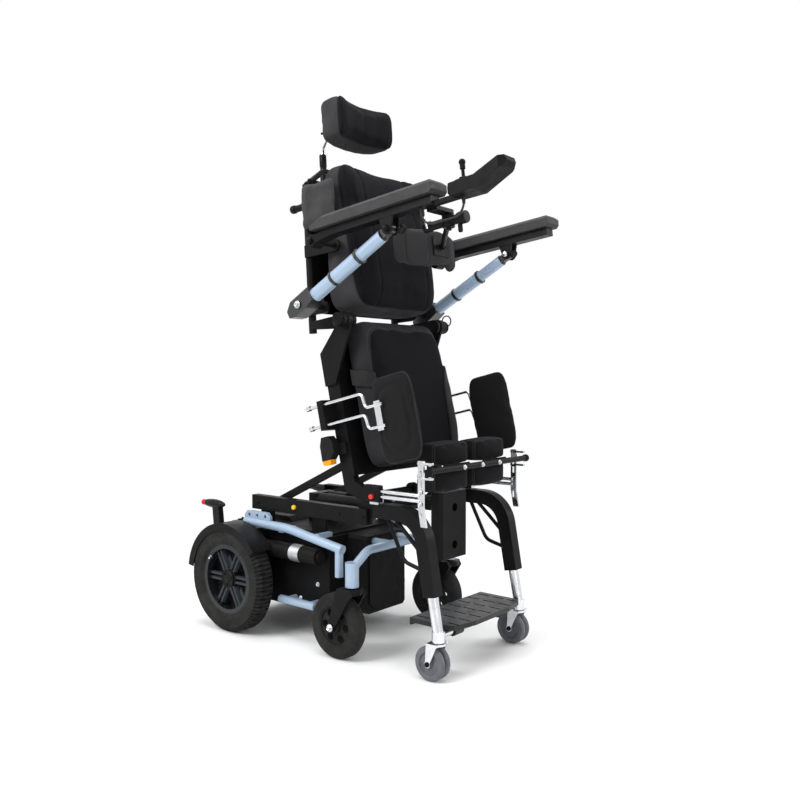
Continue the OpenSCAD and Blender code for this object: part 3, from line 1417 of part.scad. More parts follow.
// Arm beam with its rear boss and the strut clevis
module arm() {
  w = arm_bar[0];
  half = arm_bar[1] / 2;
  level = arm_beam[2] - half;
  cheek = strut_eye[1] / 2 + strut_eye[2];
  eye = strut_eye[0];
  difference() {
    union() {
      slab([
        [0, -half], [arm_beam[0], level - half], [arm_beam[1], level - half],
        [arm_beam[1], level + half], [arm_beam[0], level + half], [0, half]
      ], -arm_y - (w - join_lap) / 2, w - join_lap);
      across([0, 0], -arm_y - w / 2, w, arm_boss[0]);
      for (side = [-1, 1])
        translate([0, -arm_y + (side < 0 ? -cheek - strut_cheek[0] : cheek), 0]) {
          slab([
            strut_high + [-eye * 1.6, -strut_high[1] + level], strut_high + [-eye * 0.9, -eye / 5],
            strut_high + [eye * 0.9, -eye / 5], strut_high + [eye * 1.6, -strut_high[1] + level]
          ], 0, strut_cheek[0]);
          across(strut_high, 0, strut_cheek[0], strut_eye[0]);
          across(strut_high, side < 0 ? -strut_cheek[0] : strut_cheek[0], strut_cheek[0], strut_cheek[1]);
        }
    }
    across([0, 0], -arm_y - w, 2 * w, arm_boss[1] + run_gap);
  }
}

// Right arm, with the hinge that carries the chest support
module arm_right() {
  x = chest_hinge[0];
  y = -arm_y + chest_hinge[2];
  z = chest_hinge[1];
  color(black)
    arm_axes() {
      arm();
      block([x - chest_bar[1], -arm_y + arm_bar[0] / 2, z + chest_bar[0] / 4],
        [x + chest_bar[1], y, z + chest_bar[0] * 1.6]);
      translate([x, y, z + chest_bar[0] / 4]) cylinder(h = chest_bar[0] * 1.35, r = chest_bar[1]);
      translate([x, y, z - chest_bar[2] - chest_bar[0]])
        cylinder(h = chest_bar[2] + 2 * chest_bar[0], r = chest_pin);
      block([x - chest_bar[1], -arm_y + arm_bar[0] / 2 - chest_bar[0], z + chest_bar[0] / 4],
        [x + chest_bar[1], -arm_y + arm_bar[0] / 2 + chest_bar[0], arm_beam[2] - arm_bar[1] / 2]);
    }
}

module arm_left() color(black) mirror([0, 1, 0]) arm_axes() arm();

// Firm arm pad with bevelled edges and a dropped rear end
module arm_cover() {
  top = arm_beam[2] + seat_gap;
  high = top + arm_pad[1];
  c = arm_pad[1] / 4;
  half = arm_pad[0] / 2;
  front = arm_beam[1] + arm_pad[2];
  tail = arm_boss[0];
  color(black)
    arm_axes()
      intersection() {
        slab([
          [arm_beam[0], top], [front - c, top], [front, top + c], [front, high - c], [front - c, high],
          [arm_beam[0] - c / 2, high], [tail - c / 2, top + c * 1.6], [tail - c / 2, top]
        ], -arm_y - half, 2 * half);
        translate([0, -arm_y, 0])
          front_plane(0)
            linear_extrude(height = front + c)
              polygon([
                [-half, top], [half, top], [half, high - c], [half - c, high], [-half + c, high], [-half, high - c]
              ]);
      }
}

module arm_pad_right() arm_cover();
module arm_pad_left() mirror([0, 1, 0]) arm_cover();

// Lower strut: hinge housing, painted tube and collars
module strut_tube_side() {
  h = strut_house;
  r = strut_tube[0];
  end = strut_tube[2];
  color(blue)
    strut_axes()
      difference() {
        union() {
          slab([
            [-h[0], -h[2] / 3], [-h[0] * 0.6, -h[2] / 2], [h[1] * 0.4, -h[2] / 2], [h[1], -h[2] / 2 + h[2] / 8],
            [h[1], h[2] / 2], [-h[0] * 0.5, h[2] / 2], [-h[0], h[2] / 8]
          ], -arm_y - h[3] / 2, h[3]);
          lengthwise([-arm_y, 0], h[1] - cut_over, end - h[1] + cut_over, r);
          for (x = [strut_collar[2], end - strut_collar[1]])
            lengthwise([-arm_y, 0], x, strut_collar[1], strut_collar[0]);
        }
        across([0, 0], -arm_y - h[3], 2 * h[3], arm_boss[1] + run_gap);
        lengthwise([-arm_y, 0], h[1] + strut_collar[1], end, strut_tube[1] + run_gap);
      }
}

module strut_tube_right() strut_tube_side();
module strut_tube_left() mirror([0, 1, 0]) strut_tube_side();

// Upper strut: sliding rod with a flat eye
module strut_rod_side() {
  start = strut_house[1] + strut_house[1] * 1.4;
  neck = strut_length - 1.8 * strut_eye[0];
  color(blue)
    strut_axes() {
      lengthwise([-arm_y, 0], start, neck - start, strut_tube[1]);
      translate([neck - strut_eye[2], -arm_y - strut_eye[1] / 2, -strut_eye[0] * 0.7])
        cube([strut_length - neck + strut_eye[2], strut_eye[1], strut_eye[0] * 1.4]);
      across([strut_length, 0], -arm_y - strut_eye[1] / 2, strut_eye[1], strut_eye[0] * 0.85);
    }
}

module strut_rod_right() strut_rod_side();
module strut_rod_left() mirror([0, 1, 0]) strut_rod_side();

// Hand controller: low waist for the stick, raised display nose, and a mount bar
module controller() {
  floor_z = ctrl_z[0];
  waist = floor_z + ctrl_size[1];
  length = ctrl_x[1] - ctrl_x[0];
  half = ctrl_size[0] / 2;
  bend = ctrl_x[0] + length * 0.44;
  nose_top = waist + ctrl_z[1] / 2;
  c = half / 4;
  color(black)
    arm_axes()
      difference() {
        union() {
          intersection() {
            slab([
              [ctrl_x[0], floor_z + c], [ctrl_x[0] + c, floor_z], [bend, floor_z], [ctrl_x[1] - c, nose_top - ctrl_size[2]],
              [ctrl_x[1], nose_top - ctrl_size[2] / 2], [ctrl_x[1] - c / 2, nose_top], [ctrl_x[1] - 2 * c, nose_top],
              [bend + c, waist], [ctrl_x[0] + c / 2, waist], [ctrl_x[0], waist - c]
            ], -arm_y - half, 2 * half);
            translate([0, -arm_y, floor_z - cut_over])
              linear_extrude(height = ctrl_size[1] + ctrl_z[1])
                polygon([
                  [ctrl_x[0], -half * 0.7], [ctrl_x[0] + c, -half * 0.86], [bend, -half], [ctrl_x[1] - 2 * c, -half * 0.92],
                  [ctrl_x[1], -half * 0.6], [ctrl_x[1], half * 0.6], [ctrl_x[1] - 2 * c, half * 0.92], [bend, half],
                  [ctrl_x[0] + c, half * 0.86], [ctrl_x[0], half * 0.7]
                ]);
          }
          block([arm_beam[1] + seat_gap, -arm_y - ctrl_mount[0] / 2, floor_z - ctrl_mount[1] / 4],
            [ctrl_x[0] + 2 * c, -arm_y + ctrl_mount[0] / 2, floor_z + ctrl_mount[1] * 0.75]);
        }
        translate([stick_x, -arm_y, waist]) sphere(r = stick_r[0] + ball_gap);
        translate([stick_x + 1.8 * stick_r[0], -arm_y, waist - 3 * ctrl_key[0]])
          cylinder(h = 4 * ctrl_key[0], r = ctrl_key[0] + run_gap);
      }
}

// Press key beside the stick
module controller_key() {
  waist = ctrl_z[0] + ctrl_size[1];
  color(grey)
    arm_axes()
      translate([stick_x + 1.8 * stick_r[0], -arm_y, waist - 3 * ctrl_key[0] + ctrl_key[1] + side_gap])
        cylinder(h = 3 * ctrl_key[0], r = ctrl_key[0]);
}

// Looped control cable from the controller to the arm
module controller_cable() {
  level = arm_beam[2] - arm_bar[1] - seat_gap;
  dip = level - 16 * cable_r;
  near = ctrl_x[0] + 10 * cable_r;
  far = arm_beam[1] - 16 * cable_r;
  color(black)
    arm_axes()
      side_plane(-arm_y)
        bent([[near, ctrl_z[0] - seat_gap], [near, dip], [far, dip], [far, level]], cable_r, 7 * cable_r);
}

// Outer gimbal of the stick, slotted from side to side
module joystick_boot() {
  waist = ctrl_z[0] + ctrl_size[1];
  gap = stick_r[1] + side_gap;
  color(black)
    arm_axes()
      translate([stick_x, -arm_y, waist])
        difference() {
          sphere(r = stick_r[0]);
          sphere(r = stick_r[0] * 0.7);
          translate([-gap, -stick_r[0], 0]) cube([2 * gap, 2 * stick_r[0], 2 * stick_r[0]]);
        }
}

// Stick with its inner ball and domed knob
module joystick() {
  waist = ctrl_z[0] + ctrl_size[1];
  color(black)
    arm_axes()
      translate([stick_x, -arm_y, waist]) {
        sphere(r = stick_r[0] * 0.7 - ball_gap);
        cylinder(h = stick_h - stick_r[2], r = stick_r[1]);
        translate([0, 0, stick_h - stick_r[2]]) sphere(r = stick_r[2]);
        translate([0, 0, stick_h - 3 * stick_r[2]]) cylinder(h = 2 * stick_r[2], r = stick_r[2] * 0.8);
      }
}

// Swinging chest bar: sleeve, bar, lever screw and pad plate
module chest_arm() {
  x = chest_hinge[0];
  y = -arm_y + chest_hinge[2];
  z = chest_hinge[1] - side_gap;
  low = z - chest_bar[2];
  mid = z - chest_bar[2] / 2;
  plate = chest_at[0] + chest_pad_size[0] / 2 + seat_gap;
  color(black)
    arm_axes()
      difference() {
        union() {
          translate([x, y, low]) cylinder(h = chest_bar[2], r = chest_bar[1]);
          rod([x, y, mid], [plate + chest_bar[0], 0, chest_at[1]], chest_bar[0]);
          block([plate, -chest_pad_size[2] / 3, chest_at[1] - chest_pad_size[2] / 4],
            [plate + chest_bar[0] / 2, chest_pad_size[2] / 3, chest_at[1] + chest_pad_size[2] / 4]);
          translate([plate + chest_bar[0] * 1.5, 0, chest_at[1]]) sphere(r = chest_bar[0] * 1.3);
          rod([x, y, mid], [x + 2.4 * chest_bar[1], y, mid], chest_bar[0] / 2);
          rod([x + 2.2 * chest_bar[1], y, mid + chest_bar[0] / 2],
            [x + 2.2 * chest_bar[1], y, low - chest_bar[1]], chest_bar[0] / 2);
        }
        translate([x, y, low - cut_over]) cylinder(h = chest_bar[2] + 2 * cut_over, r = chest_pin + run_gap);
      }
}

module chest_pad() {
  color(cloth)
    arm_axes()
      translate([chest_at[0], 0, chest_at[1]])
        rotate([0, 0, 180])
          soft_pad(chest_pad_size, chest_wrap, chest_pad_size[0] / 14, 0, 0, [], 13, 28);
}

chassis_frame_right();
chassis_frame_left();
front_bow();
battery_box();
motors();
mudguards();
rear_lamps();
lift_beam_right();
lift_beam_left();
actuator_body();
actuator_rod();
drive_tyre_right();
drive_tyre_left();
drive_rim_right();
drive_rim_left();
caster_fork_right();
caster_fork_left();
caster_wheel_right();
caster_wheel_left();
leg_right();
leg_left();
leg_yoke();
leg_tubes();
leg_fork_right();
leg_fork_left();
leg_wheels_right();
leg_wheels_left();
footplate();
knee_rails();
knee_bar();
knee_pads();
seat_frame();
seat_cushion();
seat_lamp();
hip_rods_right();
hip_rods_left();
hip_pad_right();
hip_pad_left();
lift_struts();
back_carrier();
back_frame();
back_cushion();
headrest_stalk();
headrest_plate();
headrest_pad();
arm_right();
arm_left();
arm_pad_right();
arm_pad_left();
strut_tube_right();
strut_tube_left();
strut_rod_right();
strut_rod_left();
controller();
controller_key();
controller_cable();
joystick_boot();
joystick();
chest_arm();
chest_pad();
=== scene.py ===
import math

import bpy
import numpy as np
from mathutils import Matrix, Vector, noise


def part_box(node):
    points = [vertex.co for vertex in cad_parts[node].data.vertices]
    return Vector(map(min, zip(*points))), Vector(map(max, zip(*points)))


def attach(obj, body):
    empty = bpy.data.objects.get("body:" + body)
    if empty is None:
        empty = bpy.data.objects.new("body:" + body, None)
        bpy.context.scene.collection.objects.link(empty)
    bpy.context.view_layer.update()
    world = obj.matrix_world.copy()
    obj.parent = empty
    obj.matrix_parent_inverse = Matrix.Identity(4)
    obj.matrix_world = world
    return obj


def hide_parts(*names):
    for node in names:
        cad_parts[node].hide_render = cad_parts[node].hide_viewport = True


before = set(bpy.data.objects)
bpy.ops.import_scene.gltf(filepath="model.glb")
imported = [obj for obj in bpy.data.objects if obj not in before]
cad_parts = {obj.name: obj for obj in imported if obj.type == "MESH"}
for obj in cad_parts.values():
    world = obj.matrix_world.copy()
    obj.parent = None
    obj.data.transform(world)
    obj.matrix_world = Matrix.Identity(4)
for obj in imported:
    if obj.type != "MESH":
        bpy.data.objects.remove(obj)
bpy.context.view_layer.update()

# Stance of the chair: hinges in metres and leans in degrees
KNEE = (0.095, 0.0, 0.498)
SEAT_LEAN = 13.0
HIP_LOCAL = Vector((0.047, 0.0, 0.535))
BACK_LEAN = 3.6
ARM_LOCAL = (-0.038, 0.0, 0.235)
ARM_RISE = 3.0
ARM_Y = 0.308
STRUT_FOOT = (-0.079564, 0.0, 1.074669)
STRUT_RISE = 29.222
AXLE_X, AXLE_Z = -0.465, 0.178
SIDES = (("right", -1), ("left", 1))
AHEAD = Vector((1, 0, 0))
UP = Vector((0, 0, 1))
SMOOTH_ANGLE = math.radians(35)


def leaning(at, degrees):
    """Axes at a place, turned so that Z leans back and X rises."""
    return Matrix.Translation(at) @ Matrix.Rotation(math.radians(-degrees), 4, "Y")


seat_axes = leaning(KNEE, SEAT_LEAN)
hip_at = seat_axes @ HIP_LOCAL
back_axes = leaning(hip_at, BACK_LEAN)
arm_axes = back_axes @ leaning(ARM_LOCAL, ARM_RISE)
strut_axes = leaning(STRUT_FOOT, STRUT_RISE)
seat_turn, back_turn, arm_turn = seat_axes.to_3x3(), back_axes.to_3x3(), arm_axes.to_3x3()


def measured(axes, axis):
    """Direction of one of the axes, and the plane through their origin to measure from."""
    way = axes.to_3x3().col[axis].copy()
    return tuple(way), way.dot(axes.translation)


# Camera, light and floor
CAMERA_AT = Vector((1.7261, -2.0549, 0.8530))
CAMERA_AIM = Vector((0.04372, 0.0, 0.78293))
FILM_WIDTH = 36.0
LENS_LENGTH = 36.918
WORLD_STRENGTH = 0.42
# Place, aim, size in metres and power in watts of each lamp
LAMPS = {
    "key_lamp": ((-0.9, -3.3, 3.1), (0, 0, 0.85), (2.2, 2.2), 150),
    "top_lamp": ((0.2, 0.1, 4.2), (0, 0, 0), (3.2, 3.2), 120),
    "rim_lamp": ((2.6, 2.4, 2.2), (0, 0, 0.9), (1.6, 2.2), 45),
    "front_lamp": ((3.2, -1.2, 1.5), (0.1, 0, 0.9), (1.4, 2.0), 30),
}
FLOOR_RADIUS = 9.0
FLOOR_DROP = 0.0005
FLOOR_FADE = (0.75, 1.9)


def set_camera():
    data = bpy.data.cameras.new("photo_camera")
    data.sensor_width = FILM_WIDTH
    data.lens = LENS_LENGTH
    data.clip_start = 0.05
    data.clip_end = 60.0
    camera = bpy.data.objects.new("photo_camera", data)
    camera.location = CAMERA_AT
    camera.rotation_euler = (CAMERA_AIM - CAMERA_AT).to_track_quat("-Z", "Y").to_euler()
    bpy.context.scene.collection.objects.link(camera)
    bpy.context.scene.camera = camera


def soft_box(name, place, aim, size, watts):
    data = bpy.data.lights.new(name, "AREA")
    data.shape = "RECTANGLE"
    data.size, data.size_y = size
    data.energy = watts
    lamp = bpy.data.objects.new(name, data)
    lamp.location = place
    lamp.rotation_euler = (Vector(aim) - Vector(place)).to_track_quat("-Z", "Y").to_euler()
    bpy.context.scene.collection.objects.link(lamp)


def seen_directly(tree):
    """One where a camera, glossy or transmission ray looks straight at the surface."""
    path = tree.nodes.new("ShaderNodeLightPath")
    first = tree.nodes.new("ShaderNodeMath")
    first.operation = "MAXIMUM"
    second = tree.nodes.new("ShaderNodeMath")
    second.operation = "MAXIMUM"
    tree.links.new(path.outputs["Is Camera Ray"], first.inputs[0])
    tree.links.new(path.outputs["Is Glossy Ray"], first.inputs[1])
    tree.links.new(first.outputs[0], second.inputs[0])
    tree.links.new(path.outputs["Is Transmission Ray"], second.inputs[1])
    return second.outputs[0]


def set_studio():
    world = bpy.data.worlds.new("white_studio")
    bpy.context.scene.world = world
    world.use_nodes = True
    tree = world.node_tree
    tree.nodes.clear()
    fill = tree.nodes.new("ShaderNodeBackground")
    fill.inputs["Strength"].default_value = WORLD_STRENGTH
    plain = tree.nodes.new("ShaderNodeBackground")
    plain.inputs["Strength"].default_value = 1.0
    for background in (fill, plain):
        background.inputs["Color"].default_value = (1, 1, 1, 1)
    blend = tree.nodes.new("ShaderNodeMixShader")
    out = tree.nodes.new("ShaderNodeOutputWorld")
    tree.links.new(seen_directly(tree), blend.inputs[0])
    tree.links.new(fill.outputs[0], blend.inputs[1])
    tree.links.new(plain.outputs[0], blend.inputs[2])
    tree.links.new(blend.outputs[0], out.inputs[0])
    for name, (place, aim, size, watts) in LAMPS.items():
        soft_box(name, place, aim, size, watts)


def set_floor():
    """A pale round floor that takes the shadow and fades to plain white."""
    bpy.ops.mesh.primitive_circle_add(vertices=96, radius=FLOOR_RADIUS, fill_type="NGON",
                                      location=(0, 0, -FLOOR_DROP))
    floor = bpy.context.object
    floor.name = "studio_floor"
    paint = bpy.data.materials.new("pale_floor")
    paint.use_nodes = True
    tree = paint.node_tree
    tree.nodes.clear()
    place = tree.nodes.new("ShaderNodeTexCoord")
    reach = tree.nodes.new("ShaderNodeVectorMath")
    reach.operation = "LENGTH"
    fade = tree.nodes.new("ShaderNodeMapRange")
    fade.interpolation_type = "SMOOTHSTEP"
    fade.inputs["From Min"].default_value = FLOOR_FADE[0]
    fade.inputs["From Max"].default_value = FLOOR_FADE[1]
    share = tree.nodes.new("ShaderNodeMath")
    share.operation = "MULTIPLY"
    matt = tree.nodes.new("ShaderNodeBsdfDiffuse")
    matt.inputs["Color"].default_value = (0.93, 0.93, 0.93, 1)
    white = tree.nodes.new("ShaderNodeEmission")
    white.inputs["Color"].default_value = (1, 1, 1, 1)
    white.inputs["Strength"].default_value = 1.0
    blend = tree.nodes.new("ShaderNodeMixShader")
    out = tree.nodes.new("ShaderNodeOutputMaterial")
    tree.links.new(place.outputs["Object"], reach.inputs[0])
    tree.links.new(reach.outputs["Value"], fade.inputs["Value"])
    tree.links.new(fade.outputs["Result"], share.inputs[0])
    tree.links.new(seen_directly(tree), share.inputs[1])
    tree.links.new(share.outputs[0], blend.inputs[0])
    tree.links.new(matt.outputs[0], blend.inputs[1])
    tree.links.new(white.outputs[0], blend.inputs[2])
    tree.links.new(blend.outputs[0], out.inputs[0])
    floor.data.materials.append(paint)


# Finishes: every one reads Object coordinates, so its grain keeps its real size on any piece
class Finish:
    """A shader under construction, with short calls for the nodes a finish is made of."""

    def __init__(self, name, colour, rough, metal=0.0, **sockets):
        self.material = bpy.data.materials.new(name)
        self.material.use_nodes = True
        self.tree = self.material.node_tree
        self.shader = self.tree.nodes["Principled BSDF"]
        self.set(self.shader, {"Base Color": (*colour, 1), "Roughness": rough, "Metallic": metal})
        self.set(self.shader, {key.replace("_", " "): value for key, value in sockets.items()})
        self.place = self.tree.nodes.new("ShaderNodeTexCoord").outputs["Object"]
        self.tint = colour
        self.normal = None

    def set(self, node, values):
        for key, value in values.items():
            node.inputs[key].default_value = value

    def add(self, kind, values=None, **attributes):
        node = self.tree.nodes.new(kind)
        for key, value in attributes.items():
            setattr(node, key, value)
        self.set(node, values or {})
        return node

    def join(self, source, target):
        self.tree.links.new(source, target)

    def math(self, operation, first, second=None, clamp=False):
        node = self.add("ShaderNodeMath", operation=operation, use_clamp=clamp)
        for socket, value in zip(node.inputs, (first, second)):
            if value is None:
                continue
            if isinstance(value, (int, float)):
                socket.default_value = value
            else:
                self.join(value, socket)
        return node.outputs[0]

    def times(self, first, second):
        return self.math("MULTIPLY", first, second)

    def spots(self, scale, detail=3.0):
        node = self.add("ShaderNodeTexNoise", {"Scale": scale, "Detail": detail, "Roughness": 0.55})
        self.join(self.place, node.inputs["Vector"])
        return node.outputs["Fac"]

    def range(self, value, low, high, to_low=0.0, to_high=1.0):
        node = self.add("ShaderNodeMapRange", {"From Min": low, "From Max": high,
                                               "To Min": to_low, "To Max": to_high})
        self.join(value, node.inputs["Value"])
        return node.outputs["Result"]

    def mix(self, share, first, second):
        node = self.add("ShaderNodeMix", data_type="RGBA")
        self.join(share, node.inputs["Factor"])
        for socket, value in ((node.inputs[6], first), (node.inputs[7], second)):
            if isinstance(value, tuple):
                socket.default_value = (*value, 1)
            else:
                self.join(value, socket)
        return node.outputs[2]

    def over(self, share, colour):
        """Lay another colour over the finish where share is one."""
        self.tint = self.mix(share, self.tint, colour)
        self.join(self.tint, self.shader.inputs["Base Color"])
        return self

    def mottle(self, colour, scale, low=0.35, high=0.7):
        return self.over(self.range(self.spots(scale), low, high), colour)

    def uneven(self, low, high, scale):
        """Roughness that wanders between two values."""
        self.join(self.range(self.spots(scale), 0.3, 0.7, low, high), self.shader.inputs["Roughness"])
        return self

    def raise_by(self, value, strength, depth):
        bump = self.add("ShaderNodeBump", {"Strength": strength, "Distance": depth})
        self.join(value, bump.inputs["Height"])
        if self.normal is not None:
            self.join(self.normal, bump.inputs["Normal"])
        self.normal = bump.outputs["Normal"]
        self.join(self.normal, self.shader.inputs["Normal"])
        return self

    def grain(self, scale, strength, depth):
        return self.raise_by(self.spots(scale, detail=2.0), strength, depth)

    def edges(self, radius, edge_highlight_and_wear=None, share=0.5):
        """Soft rounding of hard edges, and a lighter colour along them: a painted edge highlight, partly
        wear as well.
        """
        bevel = self.add("ShaderNodeBevel", {"Radius": radius}, samples=4)
        self.normal = bevel.outputs["Normal"]
        self.join(self.normal, self.shader.inputs["Normal"])
        # The lighter edge colour is a painted highlight along the edges, and partly wear.
        if edge_highlight_and_wear:
            turn = self.add("ShaderNodeVectorMath", operation="DOT_PRODUCT")
            self.join(self.facing(), turn.inputs[0])
            self.join(self.normal, turn.inputs[1])
            rub = self.range(turn.outputs["Value"], 0.97, 0.80, to_high=share)
            self.over(self.times(rub, self.range(self.spots(90), 0.35, 0.65)), edge_highlight_and_wear)
        return self

    def facing(self):
        return self.add("ShaderNodeNewGeometry").outputs["Normal"]

    def facing_along(self):
        """How far the surface faces along each axis."""
        parts = self.add("ShaderNodeSeparateXYZ")
        self.join(self.facing(), parts.inputs[0])
        return [self.math("ABSOLUTE", part) for part in parts.outputs]

    def along(self, direction, start=0.0):
        """Distance along a direction from the plane that start gives."""
        node = self.add("ShaderNodeVectorMath", operation="DOT_PRODUCT")
        self.join(self.place, node.inputs[0])
        node.inputs[1].default_value = direction
        return self.math("SUBTRACT", node.outputs["Value"], start)

    def from_axle(self):
        """Lengths ahead of and above the drive axle, and the distance from it."""
        ahead = self.along((1.0, 0.0, 0.0), AXLE_X)
        above = self.along((0.0, 0.0, 1.0), AXLE_Z)
        squares = self.math("ADD", self.times(ahead, ahead), self.times(above, above))
        return ahead, above, self.math("SQRT", squares)

    def between(self, value, low, high):
        return self.times(self.math("GREATER_THAN", value, low), self.math("LESS_THAN", value, high))

    def weave(self, pitch):
        """Over and under threads on whichever way the cloth faces."""
        waves = []
        for axis in range(3):
            direction = [0.0, 0.0, 0.0]
            direction[axis] = math.pi / pitch
            waves.append(self.math("SINE", self.along(direction)))
        total = None
        for axis, share in enumerate(self.facing_along()):
            first, second = (waves[i] for i in range(3) if i != axis)
            cloth = self.times(self.times(first, second), self.math("POWER", share, 2.0))
            total = cloth if total is None else self.math("ADD", total, cloth)
        return total

    def named(self, attribute):
        return self.add("ShaderNodeAttribute", attribute_name=attribute).outputs["Fac"]


def shade(colour, times):
    return tuple(part * times for part in colour)


def blue_paint(name):
    coat = Finish(name, (0.315, 0.415, 0.545), 0.34, 0.2, Coat_Weight=0.3, Coat_Roughness=0.18)
    # Lighter blue along the edges: a painted edge highlight, partly wear.
    coat.edges(0.0016, edge_highlight_and_wear=(0.50, 0.60, 0.73), share=0.6)
    coat.mottle((0.285, 0.38, 0.505), scale=9)
    flakes = coat.range(coat.spots(2600, detail=0.0), 0.62, 0.75, to_high=0.35)
    coat.over(flakes, (0.56, 0.66, 0.79))
    coat.uneven(0.28, 0.42, scale=30)
    return coat.grain(900, strength=0.06, depth=0.0006)


def black_powder(name, colour=(0.0048, 0.0048, 0.0051), rough=0.42, rub=(0.042, 0.042, 0.045)):
    coat = Finish(name, colour, rough, Specular_IOR_Level=0.09)
    # Lighter edges: a painted edge highlight, partly wear.
    coat.edges(0.0012, edge_highlight_and_wear=rub, share=0.75)
    coat.mottle(shade(colour, 1.5), scale=14)
    coat.uneven(rough - 0.07, rough + 0.1, scale=24)
    return coat.grain(1500, strength=0.18, depth=0.0004)


def black_moulding(name, colour=(0.0045, 0.0045, 0.005), rough=0.5):
    coat = Finish(name, colour, rough, Specular_IOR_Level=0.09)
    # Lighter edges: a painted edge highlight, partly wear.
    coat.edges(0.0014, edge_highlight_and_wear=(0.05, 0.05, 0.052), share=0.6)
    coat.mottle(shade(colour, 1.45), scale=11)
    coat.uneven(rough - 0.08, rough + 0.1, scale=40)
    coat.raise_by(coat.range(coat.spots(2200, detail=1.0), 0.35, 0.65), strength=0.22, depth=0.0003)
    return coat.grain(60, strength=0.05, depth=0.002)


def bright_metal(name, colour=(0.72, 0.73, 0.75), rough=0.16):
    coat = Finish(name, colour, rough, metal=1.0)
    coat.edges(0.0008)
    coat.mottle(shade(colour, 0.86), scale=26)
    coat.uneven(rough * 0.7, rough * 1.8, scale=45)
    return coat.grain(520, strength=0.05, depth=0.0004)


def tyre_rubber(name):
    coat = Finish(name, (0.0115, 0.0114, 0.011), 0.78, Specular_IOR_Level=0.12)
    # Lighter edges: a painted edge highlight, partly wear.
    coat.edges(0.0012, edge_highlight_and_wear=(0.045, 0.044, 0.043), share=0.8)
    coat.mottle((0.024, 0.0235, 0.023), scale=16)
    coat.mottle((0.034, 0.033, 0.031), scale=130, low=0.58, high=0.8)
    coat.uneven(0.66, 0.88, scale=35)
    return coat.grain(1300, strength=0.3, depth=0.0004)


def grey_tread(name):
    coat = Finish(name, (0.105, 0.112, 0.125), 0.58, Specular_IOR_Level=0.4)
    # Lighter edges: a painted edge highlight, partly wear.
    coat.edges(0.0012, edge_highlight_and_wear=(0.21, 0.22, 0.235), share=0.6)
    coat.mottle((0.075, 0.08, 0.09), scale=30)
    coat.uneven(0.48, 0.68, scale=60)
    return coat.grain(1100, strength=0.15, depth=0.0003)


FRONT_CLOTH = (0.0038, 0.0038, 0.0050)
SIDE_CLOTH = (0.026, 0.0253, 0.0268)
SEAM_THREAD = (0.055, 0.055, 0.058)
LINT = (0.035, 0.035, 0.038)
STITCH_LINE = 0.0042


def upholstery(name, front=FRONT_CLOTH, side=SIDE_CLOTH):
    """Fine dark knit on the face of a pad and greyer woven cloth on its boxing, split by the seam."""
    cloth = Finish(name, front, 0.92, Specular_IOR_Level=0.05, Sheen_Weight=0.05, Sheen_Roughness=0.5)
    cloth.shader.inputs["Sheen Tint"].default_value = (0.6, 0.6, 0.66, 1)
    seam = cloth.named("seam")
    cloth.over(cloth.range(seam, -0.0006, 0.0006), side)
    knit = cloth.weave(0.0009)
    cloth.over(cloth.range(knit, 0.2, 1.0, to_high=0.35), shade(side, 1.9))
    cloth.over(cloth.range(cloth.spots(9), 0.4, 0.72, to_high=0.45), shade(front, 1.25))
    cloth.over(cloth.range(cloth.spots(1900, detail=1.0), 0.68, 0.82, to_high=0.25), LINT)
    from_line = cloth.math("ABSOLUTE", cloth.math("SUBTRACT", seam, STITCH_LINE))
    line = cloth.range(from_line, 0.0009, 0.0004)
    ticks = cloth.math("GREATER_THAN", cloth.math("SINE", cloth.along((0.0, 700.0, 1000.0))), -0.25)
    cloth.over(cloth.times(cloth.times(line, ticks), 0.55), SEAM_THREAD)
    cloth.raise_by(knit, strength=0.32, depth=0.0004)
    return cloth.grain(420, strength=0.12, depth=0.0008)


def plain_cloth(name, colour):
    cloth = Finish(name, colour, 0.9, Specular_IOR_Level=0.06, Sheen_Weight=0.08, Sheen_Roughness=0.5)
    threads = cloth.weave(0.0008)
    cloth.over(cloth.range(threads, 0.1, 1.0, to_high=0.5), shade(colour, 1.8))
    cloth.mottle(shade(colour, 0.7), scale=20)
    cloth.raise_by(threads, strength=0.4, depth=0.0005)
    return cloth.grain(300, strength=0.1, depth=0.001)


def arm_foam(name):
    foam = Finish(name, (0.034, 0.034, 0.035), 0.62, Specular_IOR_Level=0.22)
    # Lighter edges: a painted edge highlight, partly wear.
    foam.edges(0.0035, edge_highlight_and_wear=(0.095, 0.095, 0.097), share=0.85)
    foam.mottle((0.026, 0.026, 0.0265), scale=14)
    foam.uneven(0.5, 0.72, scale=50)
    pebbles = foam.add("ShaderNodeTexVoronoi", {"Scale": 520.0}, feature="SMOOTH_F1")
    foam.join(foam.place, pebbles.inputs["Vector"])
    foam.raise_by(pebbles.outputs["Distance"], strength=0.35, depth=0.0006)
    return foam.grain(60, strength=0.08, depth=0.002)


RIM_OPENING = (0.036, 0.097)


def wheel_rim(name):
    """Dark gloss rim, with a painted bluish reflection on the flanks of its spokes."""
    # The bluish light edges are a painted highlight along the spokes, partly wear.
    coat = black_powder(name, (0.0105, 0.011, 0.0125), 0.24, rub=(0.16, 0.19, 0.24))
    coat.shader.inputs["Coat Weight"].default_value = 0.4
    reach = coat.from_axle()[2]
    painted_reflection_flank = coat.math("LESS_THAN", coat.facing_along()[1], 0.6)
    # The bluish tint on the spoke flanks is a painted reflection.
    return coat.over(coat.times(painted_reflection_flank, coat.between(reach, *RIM_OPENING)), (0.050, 0.064, 0.085))


MOTOR_BAND = (-0.236, -0.192)
MOTOR_BAND_Y = 0.165


